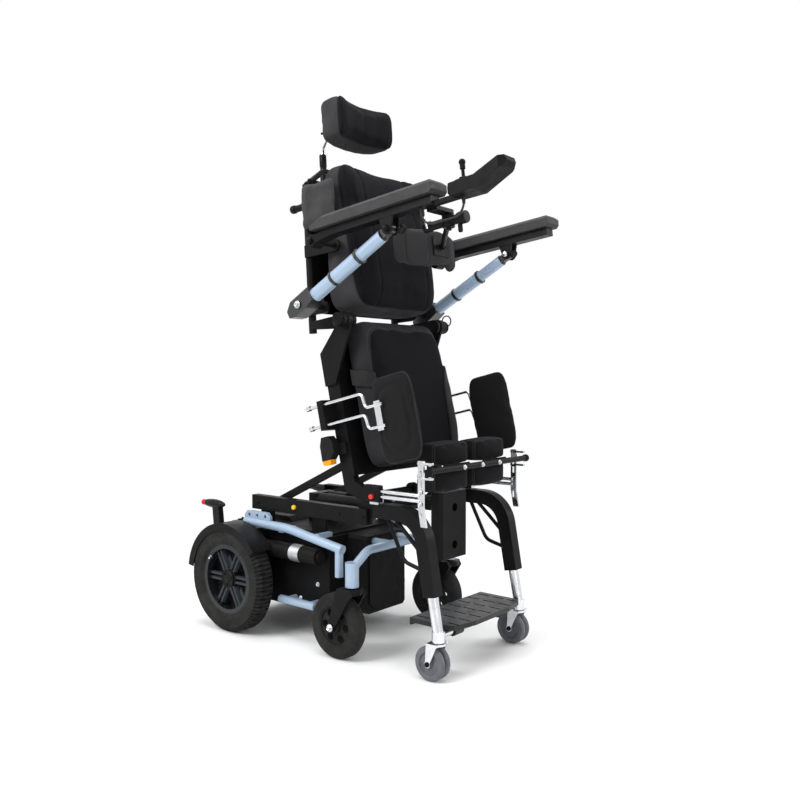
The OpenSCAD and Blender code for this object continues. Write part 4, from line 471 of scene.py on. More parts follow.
def motor_can(name):
    """Black can with a bare metal band at its outer end."""
    coat = black_powder(name, rough=0.4)
    beside = coat.math("ABSOLUTE", coat.along((0.0, 1.0, 0.0)))
    outer = coat.math("GREATER_THAN", beside, MOTOR_BAND_Y)
    band = coat.times(coat.between(coat.along((1.0, 0.0, 0.0)), *MOTOR_BAND), outer)
    coat.join(band, coat.shader.inputs["Metallic"])
    return coat.over(band, (0.62, 0.63, 0.65))


STRUT_SLEEVES = ((-1.0, 0.0565), (0.1415, 0.151), (0.2535, 0.263))
ROD_SLEEVES = ((0.3595, 1.0),)


def sleeved_paint(name, sleeves):
    """Blue strut with black sleeves at these lengths along it."""
    coat = blue_paint(name)
    reach = coat.along(*measured(strut_axes, 0))
    dark = None
    for start, end in sleeves:
        sleeve = coat.between(reach, start, end)
        dark = sleeve if dark is None else coat.math("ADD", dark, sleeve, clamp=True)
    coat.join(coat.times(coat.math("SUBTRACT", 1.0, dark), 0.2), coat.shader.inputs["Metallic"])
    return coat.over(dark, (0.009, 0.009, 0.0095))


LAMP_BLACK = (0.0085, 0.0085, 0.0092)
TAIL_LENS_X = -0.620
BLINKER_X = -0.5738
BLINKER_Z = (0.3785, 0.3975)
SEAT_LENS_LEVEL = 0.129


def tail_lamp(name):
    """Black post with a red lens at its end and an amber one beside it."""
    case = black_moulding(name, LAMP_BLACK, 0.28)
    back = case.along((1.0, 0.0, 0.0))
    level = case.along((0.0, 0.0, 1.0))
    case.over(case.math("LESS_THAN", back, TAIL_LENS_X), (0.55, 0.012, 0.012))
    blinker = case.times(case.math("LESS_THAN", back, BLINKER_X), case.between(level, *BLINKER_Z))
    return case.over(blinker, (0.85, 0.27, 0.01))


def seat_lamp(name):
    case = black_moulding(name, LAMP_BLACK, 0.28)
    level = case.along(*measured(seat_axes, 2))
    return case.over(case.math("LESS_THAN", level, SEAT_LENS_LEVEL), (0.85, 0.30, 0.01))


TREAD_BLOCKS = 80.0
TREAD_SHOULDER = (0.160, 0.163)
WALL_RIBS = 620.0
WALL_END = 0.158


def drive_tread(name):
    """Block tread round the shoulder, with painted shade in its grooves, and fine rings on the wall of the
    drive tyre.
    """
    rubber = tyre_rubber(name)
    ahead, above, reach = rubber.from_axle()
    turn = rubber.math("ARCTAN2", above, ahead)
    blocks = rubber.range(rubber.math("SINE", rubber.times(turn, TREAD_BLOCKS)), -0.3, 0.3)
    shoulder = rubber.range(reach, *TREAD_SHOULDER)
    raised = rubber.times(blocks, shoulder)
    rubber.raise_by(raised, strength=0.9, depth=0.0035)
    # The grooves between the blocks are painted darker: painted shade.
    rubber.over(rubber.times(rubber.math("SUBTRACT", shoulder, raised), 0.75), (0.003, 0.003, 0.003))
    ribs = rubber.range(rubber.math("SINE", rubber.times(reach, WALL_RIBS)), 0.55, 0.95)
    wall = rubber.math("LESS_THAN", reach, WALL_END)
    return rubber.raise_by(rubber.times(ribs, wall), strength=0.5, depth=0.0012)


def tread_plate(name):
    # The light edges along the slots are a painted highlight, partly wear.
    coat = black_powder(name, (0.010, 0.010, 0.0104), 0.38, rub=(0.30, 0.31, 0.32))
    coat.shader.inputs["Specular IOR Level"].default_value = 0.25
    return coat


def cable_rubber(name):
    rubber = Finish(name, (0.011, 0.011, 0.0115), 0.55, Specular_IOR_Level=0.25)
    rubber.mottle((0.026, 0.026, 0.027), scale=60)
    rubber.uneven(0.45, 0.65, scale=90)
    return rubber.grain(900, strength=0.2, depth=0.0003)


def bright_plastic(name, colour):
    plastic = Finish(name, colour, 0.36)
    plastic.mottle(shade(colour, 0.75), scale=160)
    plastic.uneven(0.28, 0.46, scale=200)
    return plastic.grain(1500, strength=0.12, depth=0.0002)


# Every finish by its name, with its maker and what sets it apart
FINISHES = {
    "side_frame_blue": (blue_paint,),
    "frame_black": (black_powder,),
    # The last colour of these black finishes is their painted edge highlight and wear.
    "alloy_black": (black_powder, (0.006, 0.006, 0.0064), 0.36, (0.055, 0.055, 0.058)),
    "leg_black": (black_powder, (0.0052, 0.0052, 0.0055), 0.34, (0.045, 0.045, 0.048)),
    "housing_black": (black_moulding,),
    "guard_black": (black_moulding, (0.005, 0.005, 0.0055), 0.36),
    "handle_black": (black_moulding, (0.008, 0.008, 0.0086), 0.55),
    "chrome": (bright_metal,),
    "zinc": (bright_metal, (0.62, 0.64, 0.67), 0.30),
    "tyre": (tyre_rubber,),
    "grey_wheel": (grey_tread,),
    "arm_foam": (arm_foam,),
    "pad_cloth": (upholstery,),
    "back_cloth": (upholstery, FRONT_CLOTH, (0.040, 0.039, 0.041)),
    "head_cloth": (upholstery, (0.0056, 0.0056, 0.0066), (0.038, 0.037, 0.0385)),
    "knee_cloth": (upholstery, (0.0062, 0.0060, 0.0066), (0.0095, 0.0092, 0.0098)),
    "chest_cloth": (upholstery, (0.028, 0.0272, 0.0285), (0.030, 0.029, 0.0305)),
    "hip_cloth": (upholstery, (0.0075, 0.0073, 0.0078), (0.0115, 0.0112, 0.0118)),
    "wing_cloth": (plain_cloth, (0.047, 0.0455, 0.0475)),
    "strap_web": (plain_cloth, (0.023, 0.0227, 0.0236)),
    "piping": (plain_cloth, (0.020, 0.020, 0.0215)),
    "wheel_rim": (wheel_rim,),
    "motor_can": (motor_can,),
    "strut_paint": (sleeved_paint, STRUT_SLEEVES),
    "rod_paint": (sleeved_paint, ROD_SLEEVES),
    "tail_lamp": (tail_lamp,),
    "seat_lamp": (seat_lamp,),
    "drive_tread": (drive_tread,),
    "tread_plate": (tread_plate,),
    "cable_rubber": (cable_rubber,),
    "red_plastic": (bright_plastic, (0.62, 0.02, 0.018)),
    "yellow_plastic": (bright_plastic, (0.80, 0.52, 0.01)),
}

# The CAD nodes that keep their shape, by the finish that each gets
NODE_FINISH = {
    "side_frame_blue": "chassis_frame_right chassis_frame_left front_bow",
    "housing_black": "battery_box controller controller_key joystick_boot joystick headrest_plate",
    "guard_black": "mudguards",
    "tail_lamp": "rear_lamps",
    "seat_lamp": "seat_lamp",
    "motor_can": "motors",
    "frame_black": "lift_beam_right lift_beam_left actuator_body seat_frame back_carrier back_frame"
                   " caster_fork_right caster_fork_left lift_struts leg_yoke knee_bar chest_arm",
    "leg_black": "leg_right leg_left",
    "alloy_black": "arm_right arm_left",
    "wheel_rim": "drive_rim_right drive_rim_left",
    "drive_tread": "drive_tyre_right drive_tyre_left",
    "tyre": "caster_wheel_right caster_wheel_left",
    "grey_wheel": "leg_wheels_right leg_wheels_left",
    "chrome": "leg_tubes knee_rails hip_rods_right hip_rods_left headrest_stalk actuator_rod"
              " leg_fork_right leg_fork_left",
    "rod_paint": "strut_rod_right strut_rod_left",
    "arm_foam": "arm_pad_right arm_pad_left",
    "strut_paint": "strut_tube_right strut_tube_left",
    "tread_plate": "footplate",
}


def make_finishes():
    return {name: maker(name, *values).material for name, (maker, *values) in FINISHES.items()}


def dress_nodes():
    for name, nodes in NODE_FINISH.items():
        for node in nodes.split():
            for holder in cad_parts[node].material_slots:
                holder.material = finish[name]


# Hand work on meshes
def choose(piece):
    bpy.ops.object.select_all(action="DESELECT")
    piece.select_set(True)
    bpy.context.view_layer.objects.active = piece


def edit_all(piece):
    """Open a piece in edit mode with all of it selected."""
    choose(piece)
    bpy.ops.object.mode_set(mode="EDIT")
    bpy.ops.mesh.select_all(action="SELECT")


def pick(piece, test):
    """Select the faces whose centre and normal pass the test, and stay in edit mode."""
    choose(piece)
    bpy.ops.object.mode_set(mode="EDIT")
    bpy.ops.mesh.select_mode(type="FACE")
    bpy.ops.mesh.select_all(action="DESELECT")
    done()
    for face in piece.data.polygons:
        face.select = bool(test(face.center, face.normal))
    bpy.ops.object.mode_set(mode="EDIT")


def done():
    bpy.ops.object.mode_set(mode="OBJECT")


def sink_picked(inset, shift):
    """Inset the picked faces, move them and leave edit mode."""
    bpy.ops.mesh.inset(thickness=inset)
    bpy.ops.transform.translate(value=shift)
    done()


def apply_modifier(piece, kind, **values):
    choose(piece)
    modifier = piece.modifiers.new("step", kind)
    for key, value in values.items():
        setattr(modifier, key, value)
    bpy.ops.object.modifier_apply(modifier=modifier.name)


def settle(piece, name, body, paint):
    """Name, paint and seat a finished piece on the body that carries it."""
    piece.name = name
    piece.data.name = name
    piece.data.materials.clear()
    piece.data.materials.append(finish[paint])
    choose(piece)
    bpy.ops.object.shade_smooth_by_angle(angle=SMOOTH_ANGLE)
    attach(piece, body)
    return piece


def join_all(pieces):
    bpy.ops.object.select_all(action="DESELECT")
    for piece in pieces:
        piece.select_set(True)
    bpy.context.view_layer.objects.active = pieces[0]
    bpy.ops.object.join()
    return bpy.context.object


def copy_at(model, matrix):
    piece = model.copy()
    piece.data = model.data.copy()
    bpy.context.scene.collection.objects.link(piece)
    piece.data.transform(matrix)
    return piece


def drop(piece):
    bpy.data.objects.remove(piece)


def points_of(piece, what="co"):
    flat = np.zeros(len(piece.data.vertices) * 3)
    piece.data.vertices.foreach_get(what, flat)
    return flat.reshape(-1, 3)


def normals_of(piece):
    return points_of(piece, "normal")


def put_points(piece, points):
    piece.data.vertices.foreach_set("co", np.asarray(points, float).ravel())
    piece.data.update()


def middle(piece):
    points = points_of(piece)
    return (points.min(0) + points.max(0)) / 2


def local(points, axes):
    """World points in the axes of the seat, back or arm."""
    turn = np.array(axes.inverted())
    return points @ turn[:3, :3].T + turn[:3, 3]


# Padded pieces: the CAD form, swollen by a cloth simulation and then sewn
SIM_FRAMES = 20
# How far each form is drawn in first, how far it may swell, and the size of its mesh
SWELLING = {
    "seat": (0.004, 0.0075, 0.006),
    "back": (0.004, 0.0075, 0.006),
    "wing": (0.002, 0.007, 0.0045),
    "head": (0.003, 0.0055, 0.0045),
    "knee": (0.0035, 0.009, 0.0042),
    "hip": (0.003, 0.008, 0.0042),
    "chest": (0.004, 0.009, 0.0042),
}
COVER_CLOTH = {
    "quality": 5,
    "mass": 0.25,
    "tension_stiffness": 18,
    "compression_stiffness": 14,
    "shear_stiffness": 8,
    "bending_stiffness": 0.6,
    "use_pressure": True,
    "uniform_pressure_force": 4.0,
}


def loose_copies(node):
    """The solids of a CAD node, each as a merged mesh of its own."""
    piece = bpy.data.objects.new(node + "_form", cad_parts[node].data.copy())
    bpy.context.scene.collection.objects.link(piece)
    edit_all(piece)
    bpy.ops.mesh.remove_doubles(threshold=0.00002)
    bpy.ops.mesh.normals_make_consistent(inside=False)
    bpy.ops.mesh.separate(type="LOOSE")
    done()
    return sorted(bpy.context.selected_objects, key=lambda form: [round(value, 3) for value in middle(form)])


def swell(piece, kind):
    """Start a little small, blow the cover up from inside, and keep every point within the cap."""
    shrink, cap, voxel = SWELLING[kind]
    apply_modifier(piece, "DISPLACE", strength=-shrink, mid_level=0.0, direction="NORMAL")
    piece.data.remesh_voxel_size = voxel
    choose(piece)
    bpy.ops.object.voxel_remesh()
    scene = bpy.context.scene
    start = points_of(piece)
    cloth = piece.modifiers.new("cover", "CLOTH")
    for key, value in COVER_CLOTH.items():
        setattr(cloth.settings, key, value)
    cloth.settings.effector_weights.gravity = 0.0
    cloth.point_cache.frame_start = 1
    cloth.point_cache.frame_end = SIM_FRAMES
    for step in range(1, SIM_FRAMES + 1):
        scene.frame_set(step)
    choose(piece)
    bpy.ops.object.modifier_apply(modifier=cloth.name)
    scene.frame_set(1)
    moved = points_of(piece) - start
    far = np.linalg.norm(moved, axis=1, keepdims=True)
    moved *= np.minimum(1.0, cap / np.maximum(far, 1e-9))
    put_points(piece, start + moved)
    apply_modifier(piece, "CORRECTIVE_SMOOTH", iterations=3, use_only_smooth=True)
    apply_modifier(piece, "SUBSURF", levels=1, render_levels=1)


def crease(piece, distance, depth, width):
    """Draw the cover in along a sewn line, where distance is zero."""
    points, out = points_of(piece), normals_of(piece)
    put_points(piece, points - out * (depth * np.exp(-(distance / width) ** 2))[:, None])


def mark_seam(piece, distance):
    """Keep the distance behind the seam as an attribute that the upholstery reads."""
    line = piece.data.attributes.new("seam", "FLOAT", "POINT")
    line.data.foreach_set("value", np.asarray(distance, np.float32))


def wrinkle(piece, share, scale, depth, seed, stretch=(1.0, 1.0, 1.0)):
    """Slow folds of slack cloth where share is above zero."""
    points, out = points_of(piece), normals_of(piece)
    shift = Vector((seed, 0, 0))
    lift = np.array([noise.noise(Vector(point * stretch * scale) + shift) for point in points])
    folds = (1.0 - np.abs(lift) * 2.2) * depth * share
    put_points(piece, points + out * folds[:, None])


def welt(name, pad, plane_at, plane_normal, radius, body):
    """Piping sewn into a seam: the pad's own section by a plane, thickened."""
    loop = copy_at(pad, Matrix.Identity(4))
    edit_all(loop)
    bpy.ops.mesh.bisect(plane_co=plane_at, plane_no=plane_normal, clear_inner=True, clear_outer=True)
    bpy.ops.mesh.select_all(action="SELECT")
    bpy.ops.mesh.vertices_smooth(factor=0.5, repeat=4)
    done()
    bpy.ops.object.convert(target="CURVE")
    loop.data.bevel_depth = radius
    loop.data.bevel_resolution = 2
    bpy.ops.object.convert(target="MESH")
    return settle(bpy.context.object, name, body, "piping")


def finish_pad(piece, name, body, paint, node=None):
    """Settle a pad with a smooth skin, and let it stand for its CAD node."""
    settle(piece, name, body, paint)
    for face in piece.data.polygons:
        face.use_smooth = True
    if node:
        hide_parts(node)


# CAD forms of the crowned pads in their own axes: middle depth, size, wrap of the sides and middle level
SEAT_FORM = (0.0241, (0.108, 0.424, 0.474), 0.0, 0.309)
BACK_FORM = (-0.069, (0.162, 0.436, 0.476), 0.0162, 0.270)
HEAD_FORM = (-0.146, (0.100, 0.286, 0.138), 0.034, 0.678)
CROWN_ACROSS, CROWN_TALL = 3.2, 5
RIM_SHARE = 0.995
MOST_FILL = 3.0


def rounded(across, tall, power_across, power_tall):
    """Thickness of a crowned pad, from one in its middle to zero at its rim."""
    return (1 - across ** power_across) ** (1 / power_across) * (1 - tall ** power_tall) ** (1 / power_tall)


def fill_edges(pad, axes, form, squarer, rear=False):
    """Fill a crowned pad out towards its boxing: thicker near its rim, with the same outline."""
    depth, size, wrap, level = form
    place = local(points_of(pad), axes)
    across = np.clip(np.abs(place[:, 1]) / (size[1] / 2), 0, RIM_SHARE)
    tall = np.clip(np.abs(place[:, 2] - level) / (size[2] / 2), 0, RIM_SHARE)
    thin = rounded(across, tall, CROWN_ACROSS, CROWN_TALL)
    full = rounded(across, tall, squarer, squarer)
    core = depth + wrap * (2 * place[:, 1] / size[1]) ** 2
    ratio = np.minimum(full / thin, MOST_FILL)
    if not rear:
        ratio = np.where(place[:, 0] > core, ratio, 1.0)
    place[:, 0] = core + (place[:, 0] - core) * ratio
    turn = np.array(axes)
    put_points(pad, place @ turn[:3, :3].T + turn[:3, 3])


SEAT_BOXING = 0.030
SEAT_PIPING = 0.0022


def make_seat_cushion():
    pad = loose_copies("seat_cushion")[0]
    fill_edges(pad, seat_axes, SEAT_FORM, squarer=8.0)
    swell(pad, "seat")
    place = local(points_of(pad), seat_axes)
    edge = place[:, 0].max() - SEAT_BOXING
    crease(pad, place[:, 0] - edge, depth=0.0028, width=0.005)
    place = local(points_of(pad), seat_axes)
    mark_seam(pad, edge - place[:, 0])
    finish_pad(pad, "seat_cushion_cover", "seat", "pad_cloth", node="seat_cushion")
    seam_at = seat_axes @ Vector((edge, 0, 0))
    welt("seat_cushion_piping", pad, seam_at, seat_turn @ AHEAD, SEAT_PIPING, "seat")


BACK_SEAM_AHEAD = 0.055
BACK_SEAM_FALL = 0.6
BACK_PIPING = 0.0022
BACK_CHANNELS = (-0.118, 0.118)
WING_FOLDS = (1.0, 0.3, 1.7)


def make_back_cushion():
    """The cushion with two sewn channels and a tilted seam, and a slack wing at each side."""
    parts = sorted(loose_copies("back_cushion"), key=lambda form: abs(middle(form)[1]))
    pad, wings = parts[0], parts[1:]
    fill_edges(pad, back_axes, BACK_FORM, squarer=8.0)
    swell(pad, "back")
    depth, size, _, level = BACK_FORM
    seam_at = Vector((depth + BACK_SEAM_AHEAD, 0, level))
    seam_way = Vector((1, 0, BACK_SEAM_AHEAD * BACK_SEAM_FALL / (size[2] / 2))).normalized()
    place = local(points_of(pad), back_axes)
    ahead = (place - np.array(seam_at)) @ np.array(seam_way)
    for y in BACK_CHANNELS:
        crease(pad, np.where(ahead > 0, place[:, 1] - y, 1.0), depth=0.0026, width=0.0045)
    crease(pad, ahead, depth=0.0030, width=0.005)
    place = local(points_of(pad), back_axes)
    mark_seam(pad, -((place - np.array(seam_at)) @ np.array(seam_way)))
    finish_pad(pad, "back_cushion_cover", "back", "back_cloth", node="back_cushion")
    welt("back_cushion_piping", pad, back_axes @ seam_at, back_turn @ seam_way, BACK_PIPING, "back")
    for number, wing in enumerate(wings):
        side = "right" if middle(wing)[1] < 0 else "left"
        swell(wing, "wing")
        wrinkle(wing, 1.0, scale=11.0, depth=0.0022, seed=4.0 + number, stretch=WING_FOLDS)
        settle(wing, "back_wing_" + side, "back", "wing_cloth")


HEAD_SEAM = 0.030


def make_headrest():
    pad = loose_copies("headrest_pad")[0]
    fill_edges(pad, back_axes, HEAD_FORM, squarer=11.0, rear=True)
    swell(pad, "head")
    place = local(points_of(pad), back_axes)
    depth, size, wrap, _ = HEAD_FORM
    line = depth + wrap * (2 * place[:, 1] / size[1]) ** 2 + HEAD_SEAM
    crease(pad, place[:, 0] - line, depth=0.0030, width=0.0045)
    place = local(points_of(pad), back_axes)
    mark_seam(pad, line - place[:, 0])
    slack = np.clip((line - place[:, 0]) / HEAD_SEAM, 0, 1)
    wrinkle(pad, slack, scale=16.0, depth=0.0020, seed=9.0)
    finish_pad(pad, "headrest_cover", "head", "head_cloth", node="headrest_pad")


KNEE_BOXING = 0.016
KNEE_PIPING = 0.0016


def make_knee_pads():
    """Four pads from one CAD node, which the first of them stands for."""
    for number, pad in enumerate(loose_copies("knee_pads")):
        swell(pad, "knee")
        place = points_of(pad)
        edge = place[:, 0].max() - KNEE_BOXING
        crease(pad, place[:, 0] - edge, depth=0.0016, width=0.004)
        place = points_of(pad)
        mark_seam(pad, edge - place[:, 0])
        name = "knee_pad_" + str(number + 1)
        finish_pad(pad, name, "knee", "knee_cloth", node="knee_pads" if number == 0 else None)
        welt(name + "_piping", pad, (edge, 0, 0), AHEAD, KNEE_PIPING, "knee")


HIP_PIPING = 0.0026
HIP_PANEL = 0.74
HIP_PANEL_INSIDE = 0.70
HIP_PANEL_FADE = 0.2
HIP_PANEL_SINK = 0.003
HIP_SEAM_SHIFT = 0.004
HIP_FOLDS = (1.0, 0.4, 0.7)


def make_hip_pads():
    """A stitched panel with slack cloth on the outer face, and piping round the rim."""
    for side, sign in SIDES:
        node = "hip_pad_" + side
        pad = loose_copies(node)[0]
        swell(pad, "hip")
        place = local(points_of(pad), seat_axes)
        low, high = place.min(0), place.max(0)
        reach = (high - low) / 2
        centre = (low + high) / 2
        half = centre[1]
        across = np.abs((place[:, 0] - centre[0]) / reach[0])
        tall = np.abs((place[:, 2] - centre[2]) / reach[2])
        spread = (across ** 3 + tall ** 3.4) ** (1 / 3.2)
        outer = (place[:, 1] * sign) > half * sign
        crease(pad, np.where(outer, (spread - HIP_PANEL) * reach[0], 1.0), depth=0.0050, width=0.007)
        panel = np.where(outer, np.clip((HIP_PANEL_INSIDE - spread) / HIP_PANEL_FADE, 0, 1), 0.0)
        put_points(pad, points_of(pad) - normals_of(pad) * (HIP_PANEL_SINK * panel)[:, None])
        wrinkle(pad, panel, scale=19.0, depth=0.0022, seed=2.0 + sign, stretch=HIP_FOLDS)
        place = local(points_of(pad), seat_axes)
        mark_seam(pad, (place[:, 1] - half) * sign)
        finish_pad(pad, node + "_cover", "hip_" + side, "hip_cloth", node=node)
        seam_at = seat_axes @ Vector((0, half + sign * HIP_SEAM_SHIFT, 0))
        welt(node + "_piping", pad, seam_at, (0, sign, 0), HIP_PIPING, "hip_" + side)


CHEST_PIPING = 0.0016
CHEST_CHANNELS = (-0.36, 0.36)
# A distance well before any seam, so that the whole pad counts as its face
ALL_FACE = -0.05


def make_chest_pad():
    pad = loose_copies("chest_pad")[0]
    swell(pad, "chest")
    place = local(points_of(pad), arm_axes)
    half = np.abs(place[:, 1] - place[:, 1].mean()).max()
    centre = (place.min(0) + place.max(0)) / 2
    for share in CHEST_CHANNELS:
        crease(pad, place[:, 1] - centre[1] - share * half, depth=0.0030, width=0.005)
    mark_seam(pad, np.full(len(place), ALL_FACE))
    finish_pad(pad, "chest_cover", "chest", "chest_cloth", node="chest_pad")
    seam_at = arm_axes @ Vector((centre[0], 0, centre[2]))
    welt("chest_piping", pad, seam_at, arm_turn @ AHEAD, CHEST_PIPING, "chest")


# Hip belt: flat straps laid on the seat cover, round its near side and down its far front edge
BELT_THICK = 0.007
BELT_GAP = 0.0012
# Points of one edge and of the other in the seat's axes: out from the seat, across and along it
BELT_RIGHT = (
    ((-0.028, -0.218, 0.397), (-0.028, -0.218, 0.343)),
    ((0.0, -0.218, 0.391), (0.0, -0.218, 0.337)),
    ((0.03, -0.218, 0.384), (0.03, -0.218, 0.330)),
    ((0.06, -0.218, 0.376), (0.06, -0.218, 0.322)),
    ((0.100, -0.190, 0.366), (0.100, -0.190, 0.312)),
)
BELT_LEFT = (
    ((0.045, 0.205, 0.404), (0.005, 0.212, 0.374)),
    ((0.098, 0.160, 0.384), (0.070, 0.206, 0.338)),
    ((0.106, 0.124, 0.325), (0.096, 0.188, 0.298)),
    ((0.106, 0.117, 0.240), (0.094, 0.182, 0.235)),
    ((0.104, 0.117, 0.170), (0.092, 0.182, 0.170)),
    ((0.096, 0.119, 0.112), (0.086, 0.182, 0.112)),
)


def belt_on(pad, rows, name):
    """A strap through rows of edge points, laid on the pad and given its thickness."""
    bpy.ops.mesh.primitive_grid_add(x_subdivisions=8, y_subdivisions=len(rows) * 6, size=1)
    strap = fresh()
    points = points_of(strap)
    path = np.array([[tuple(seat_axes @ Vector(end)) for end in row] for row in rows])
    spot = np.clip(points[:, 1] + 0.5, 0, 1) * (len(rows) - 1)
    lower = np.minimum(spot.astype(int), len(rows) - 2)
    share = (spot - lower)[:, None, None]
    lines = path[lower] * (1 - share) + path[lower + 1] * share
    across = np.clip(points[:, 0] + 0.5, 0, 1)[:, None]
    put_points(strap, lines[:, 0] * (1 - across) + lines[:, 1] * across)
    apply_modifier(strap, "SHRINKWRAP", target=pad, wrap_method="NEAREST_SURFACEPOINT",
                   wrap_mode="ABOVE_SURFACE", offset=BELT_GAP + BELT_THICK / 2)
    apply_modifier(strap, "SMOOTH", factor=0.5, iterations=6)
    apply_modifier(strap, "SOLIDIFY", thickness=BELT_THICK, offset=0.0)
    apply_modifier(strap, "BEVEL", width=BELT_THICK * 0.35, segments=2, limit_method="ANGLE")
    edit_all(strap)
    bpy.ops.mesh.normals_make_consistent(inside=False)
    done()
    settle(strap, name, "seat", "strap_web")


def make_hip_belt():
    pad = bpy.data.objects["seat_cushion_cover"]
    belt_on(pad, BELT_RIGHT, "hip_belt_right")
    belt_on(pad, BELT_LEFT, "hip_belt_left")


# Lathe profiles of the turned pieces: rings of radius and height
CABLE_SLEEVE = ((0.0056, -0.001), (0.0062, 0.001), (0.0062, 0.003), (0.0050, 0.004), (0.0056, 0.006),
                (0.0046, 0.008), (0.0052, 0.010), (0.0042, 0.013), (0.0048, 0.015), (0.0036, 0.020))
KNOB_STEM = ((0.0045, -0.004), (0.0045, 0.008), (0.011, 0.009))
HUB_CAP = ((0.031, -0.001), (0.031, 0.002), (0.0285, 0.004), (0.0275, 0.0035), (0.016, 0.0025),
           (0.0145, 0.0045), (0.006, 0.0055), (0.001, 0.0055))
TYRE_VALVE = ((0.0045, -0.002), (0.0042, 0.006), (0.0030, 0.007), (0.0030, 0.012), (0.0035, 0.0125),
              (0.0035, 0.018), (0.0022, 0.0195))
STUB_CAP = ((0.0125, -0.002), (0.0132, 0.001), (0.0132, 0.012), (0.0118, 0.0145), (0.009, 0.015))
BUTTON = ((0.0075, -0.0005), (0.0078, 0.002), (0.0078, 0.006), (0.0068, 0.008), (0.004, 0.0086))
CHEST_TUBE = ((0.0105, 0.0), (0.0145, 0.002), (0.0155, 0.006), (0.0155, 0.022), (0.0125, 0.024),
              (0.0125, 0.098), (0.0135, 0.099), (0.0135, 0.116), (0.0168, 0.118), (0.0175, 0.122),
              (0.0175, 0.140), (0.016, 0.144), (0.009, 0.145))
CHEST_PIN = ((0.0035, 0.0), (0.0035, 0.026), (0.006, 0.027), (0.006, 0.031), (0.004, 0.033))
LEVER_GRIP = ((0.0052, 0.0), (0.0066, 0.003), (0.0066, 0.018), (0.0056, 0.022), (0.003, 0.023))
HEAD_SLEEVE = ((0.0105, 0.0), (0.0125, 0.002), (0.0125, 0.040), (0.0112, 0.043), (0.0112, 0.052),
               (0.0125, 0.054), (0.0125, 0.092), (0.0105, 0.095))


# Hardware: each kind is modelled once, and every copy has its own mesh
def fresh():
    bpy.ops.object.transform_apply(location=True, rotation=True, scale=True)
    return bpy.context.object


def turned(rings, sides=28):
    """A lathe form on Z from its rings, closed at both ends."""
    radius, level = rings[0]
    bpy.ops.mesh.primitive_circle_add(vertices=sides, radius=radius, fill_type="NGON",
                                      location=(0, 0, level))
    piece = fresh()
    edit_all(piece)
    for wider, higher in rings[1:]:
        bpy.ops.mesh.extrude_region_move(TRANSFORM_OT_translate={"value": (0, 0, higher - level)})
        bpy.ops.transform.resize(value=(wider / radius, wider / radius, 1), center_override=(0, 0, higher))
        radius, level = wider, higher
    bpy.ops.mesh.select_all(action="SELECT")
    bpy.ops.mesh.normals_make_consistent(inside=False)
    done()
    return piece


def blocked(low, high, edge):
    """A block between two corners with its edges rounded."""
    low, high = Vector(low), Vector(high)
    bpy.ops.mesh.primitive_cube_add(size=1, location=(low + high) / 2, scale=high - low)
    piece = fresh()
    edit_all(piece)
    bpy.ops.mesh.bevel(offset=edge, segments=3, affect="EDGES")
    done()
    return piece


def towards(at, way):
    return Matrix.Translation(at) @ Vector(way).to_track_quat("Z", "Y").to_matrix().to_4x4()


# Height at which a head or cap starts, just under the face that it sits on
SEATED = -0.0004


def hex_bolt(radius, height):
    """Hexagon head with a chamfered top on a washer."""
    washer = turned(((radius * 1.5, SEATED), (radius * 1.58, height * 0.08), (radius * 1.5, height * 0.22)))
    head = turned(((radius, height * 0.15), (radius, height * 0.85), (radius * 0.82, height)), 6)
    pick(head, lambda centre, out: out.z > 0.9)
    sink_picked(radius * 0.3, (0, 0, -height * 0.25))
    return join_all([washer, head])


def dome_cap(radius, height):
    return turned(((radius, SEATED), (radius, height * 0.35), (radius * 0.92, height * 0.62),
                   (radius * 0.72, height * 0.86), (radius * 0.4, height * 0.98), (radius * 0.1, height)))


def grip_knob(radius, height, lobes):
    """Hand knob with drawn-in flutes round its rim."""
    knob = turned(((radius * 0.8, SEATED), (radius, height * 0.2), (radius, height * 0.75),
                   (radius * 0.86, height)), lobes * 4)

    def in_flute(centre, out):
        turn = math.degrees(math.atan2(centre.y, centre.x))
        return abs(out.z) < 0.3 and int(round(turn / (90 / lobes))) % 4 in (0, 1)

    pick(knob, in_flute)
    bpy.ops.mesh.extrude_region_move()
    bpy.ops.transform.resize(value=(0.88, 0.88, 1), center_override=(0, 0, height / 2))
    done()
    pick(knob, lambda centre, out: out.z > 0.9)
    sink_picked(radius * 0.2, (0, 0, -height * 0.12))
    return knob


def stemmed_knob():
    stem = turned(KNOB_STEM, 20)
    head = grip_knob(0.0135, 0.013, lobes=6)
    head.data.transform(Matrix.Translation((0, 0, 0.008)))
    return join_all([stem, head])


def ring(radius, thick, flatten=1.0):
    """A ring on Z with a shallow groove round its top."""
    bpy.ops.mesh.primitive_torus_add(major_radius=radius, minor_radius=thick, major_segments=40,
                                     minor_segments=12)
    piece = fresh()
    pick(piece, lambda centre, out: out.z > 0.75)
    sink_picked(thick * 0.2, (0, 0, -thick * 0.16))
    edit_all(piece)
    bpy.ops.transform.resize(value=(1, 1, flatten), center_override=(0, 0, 0))
    done()
    return piece


def fit(model, places, name, body, paint):
    """Copies of a model at pairs of place and outward direction, as one named piece."""
    copies = [copy_at(model, towards(at, way)) for at, way in places]
    return settle(join_all(copies) if len(copies) > 1 else copies[0], name, body, paint)


# Control cable: it leaves the controller, hangs in a loop and goes back into the arm
CABLE_D = 0.006
# Corner points of the route in the arm's axes, ahead and up
CABLE_CORNERS = ((0.542, -0.0021), (0.542, -0.0481), (0.404, -0.0481), (0.404, -0.0001))
CABLE_BEND = 0.034
CABLE_SAG = 0.002


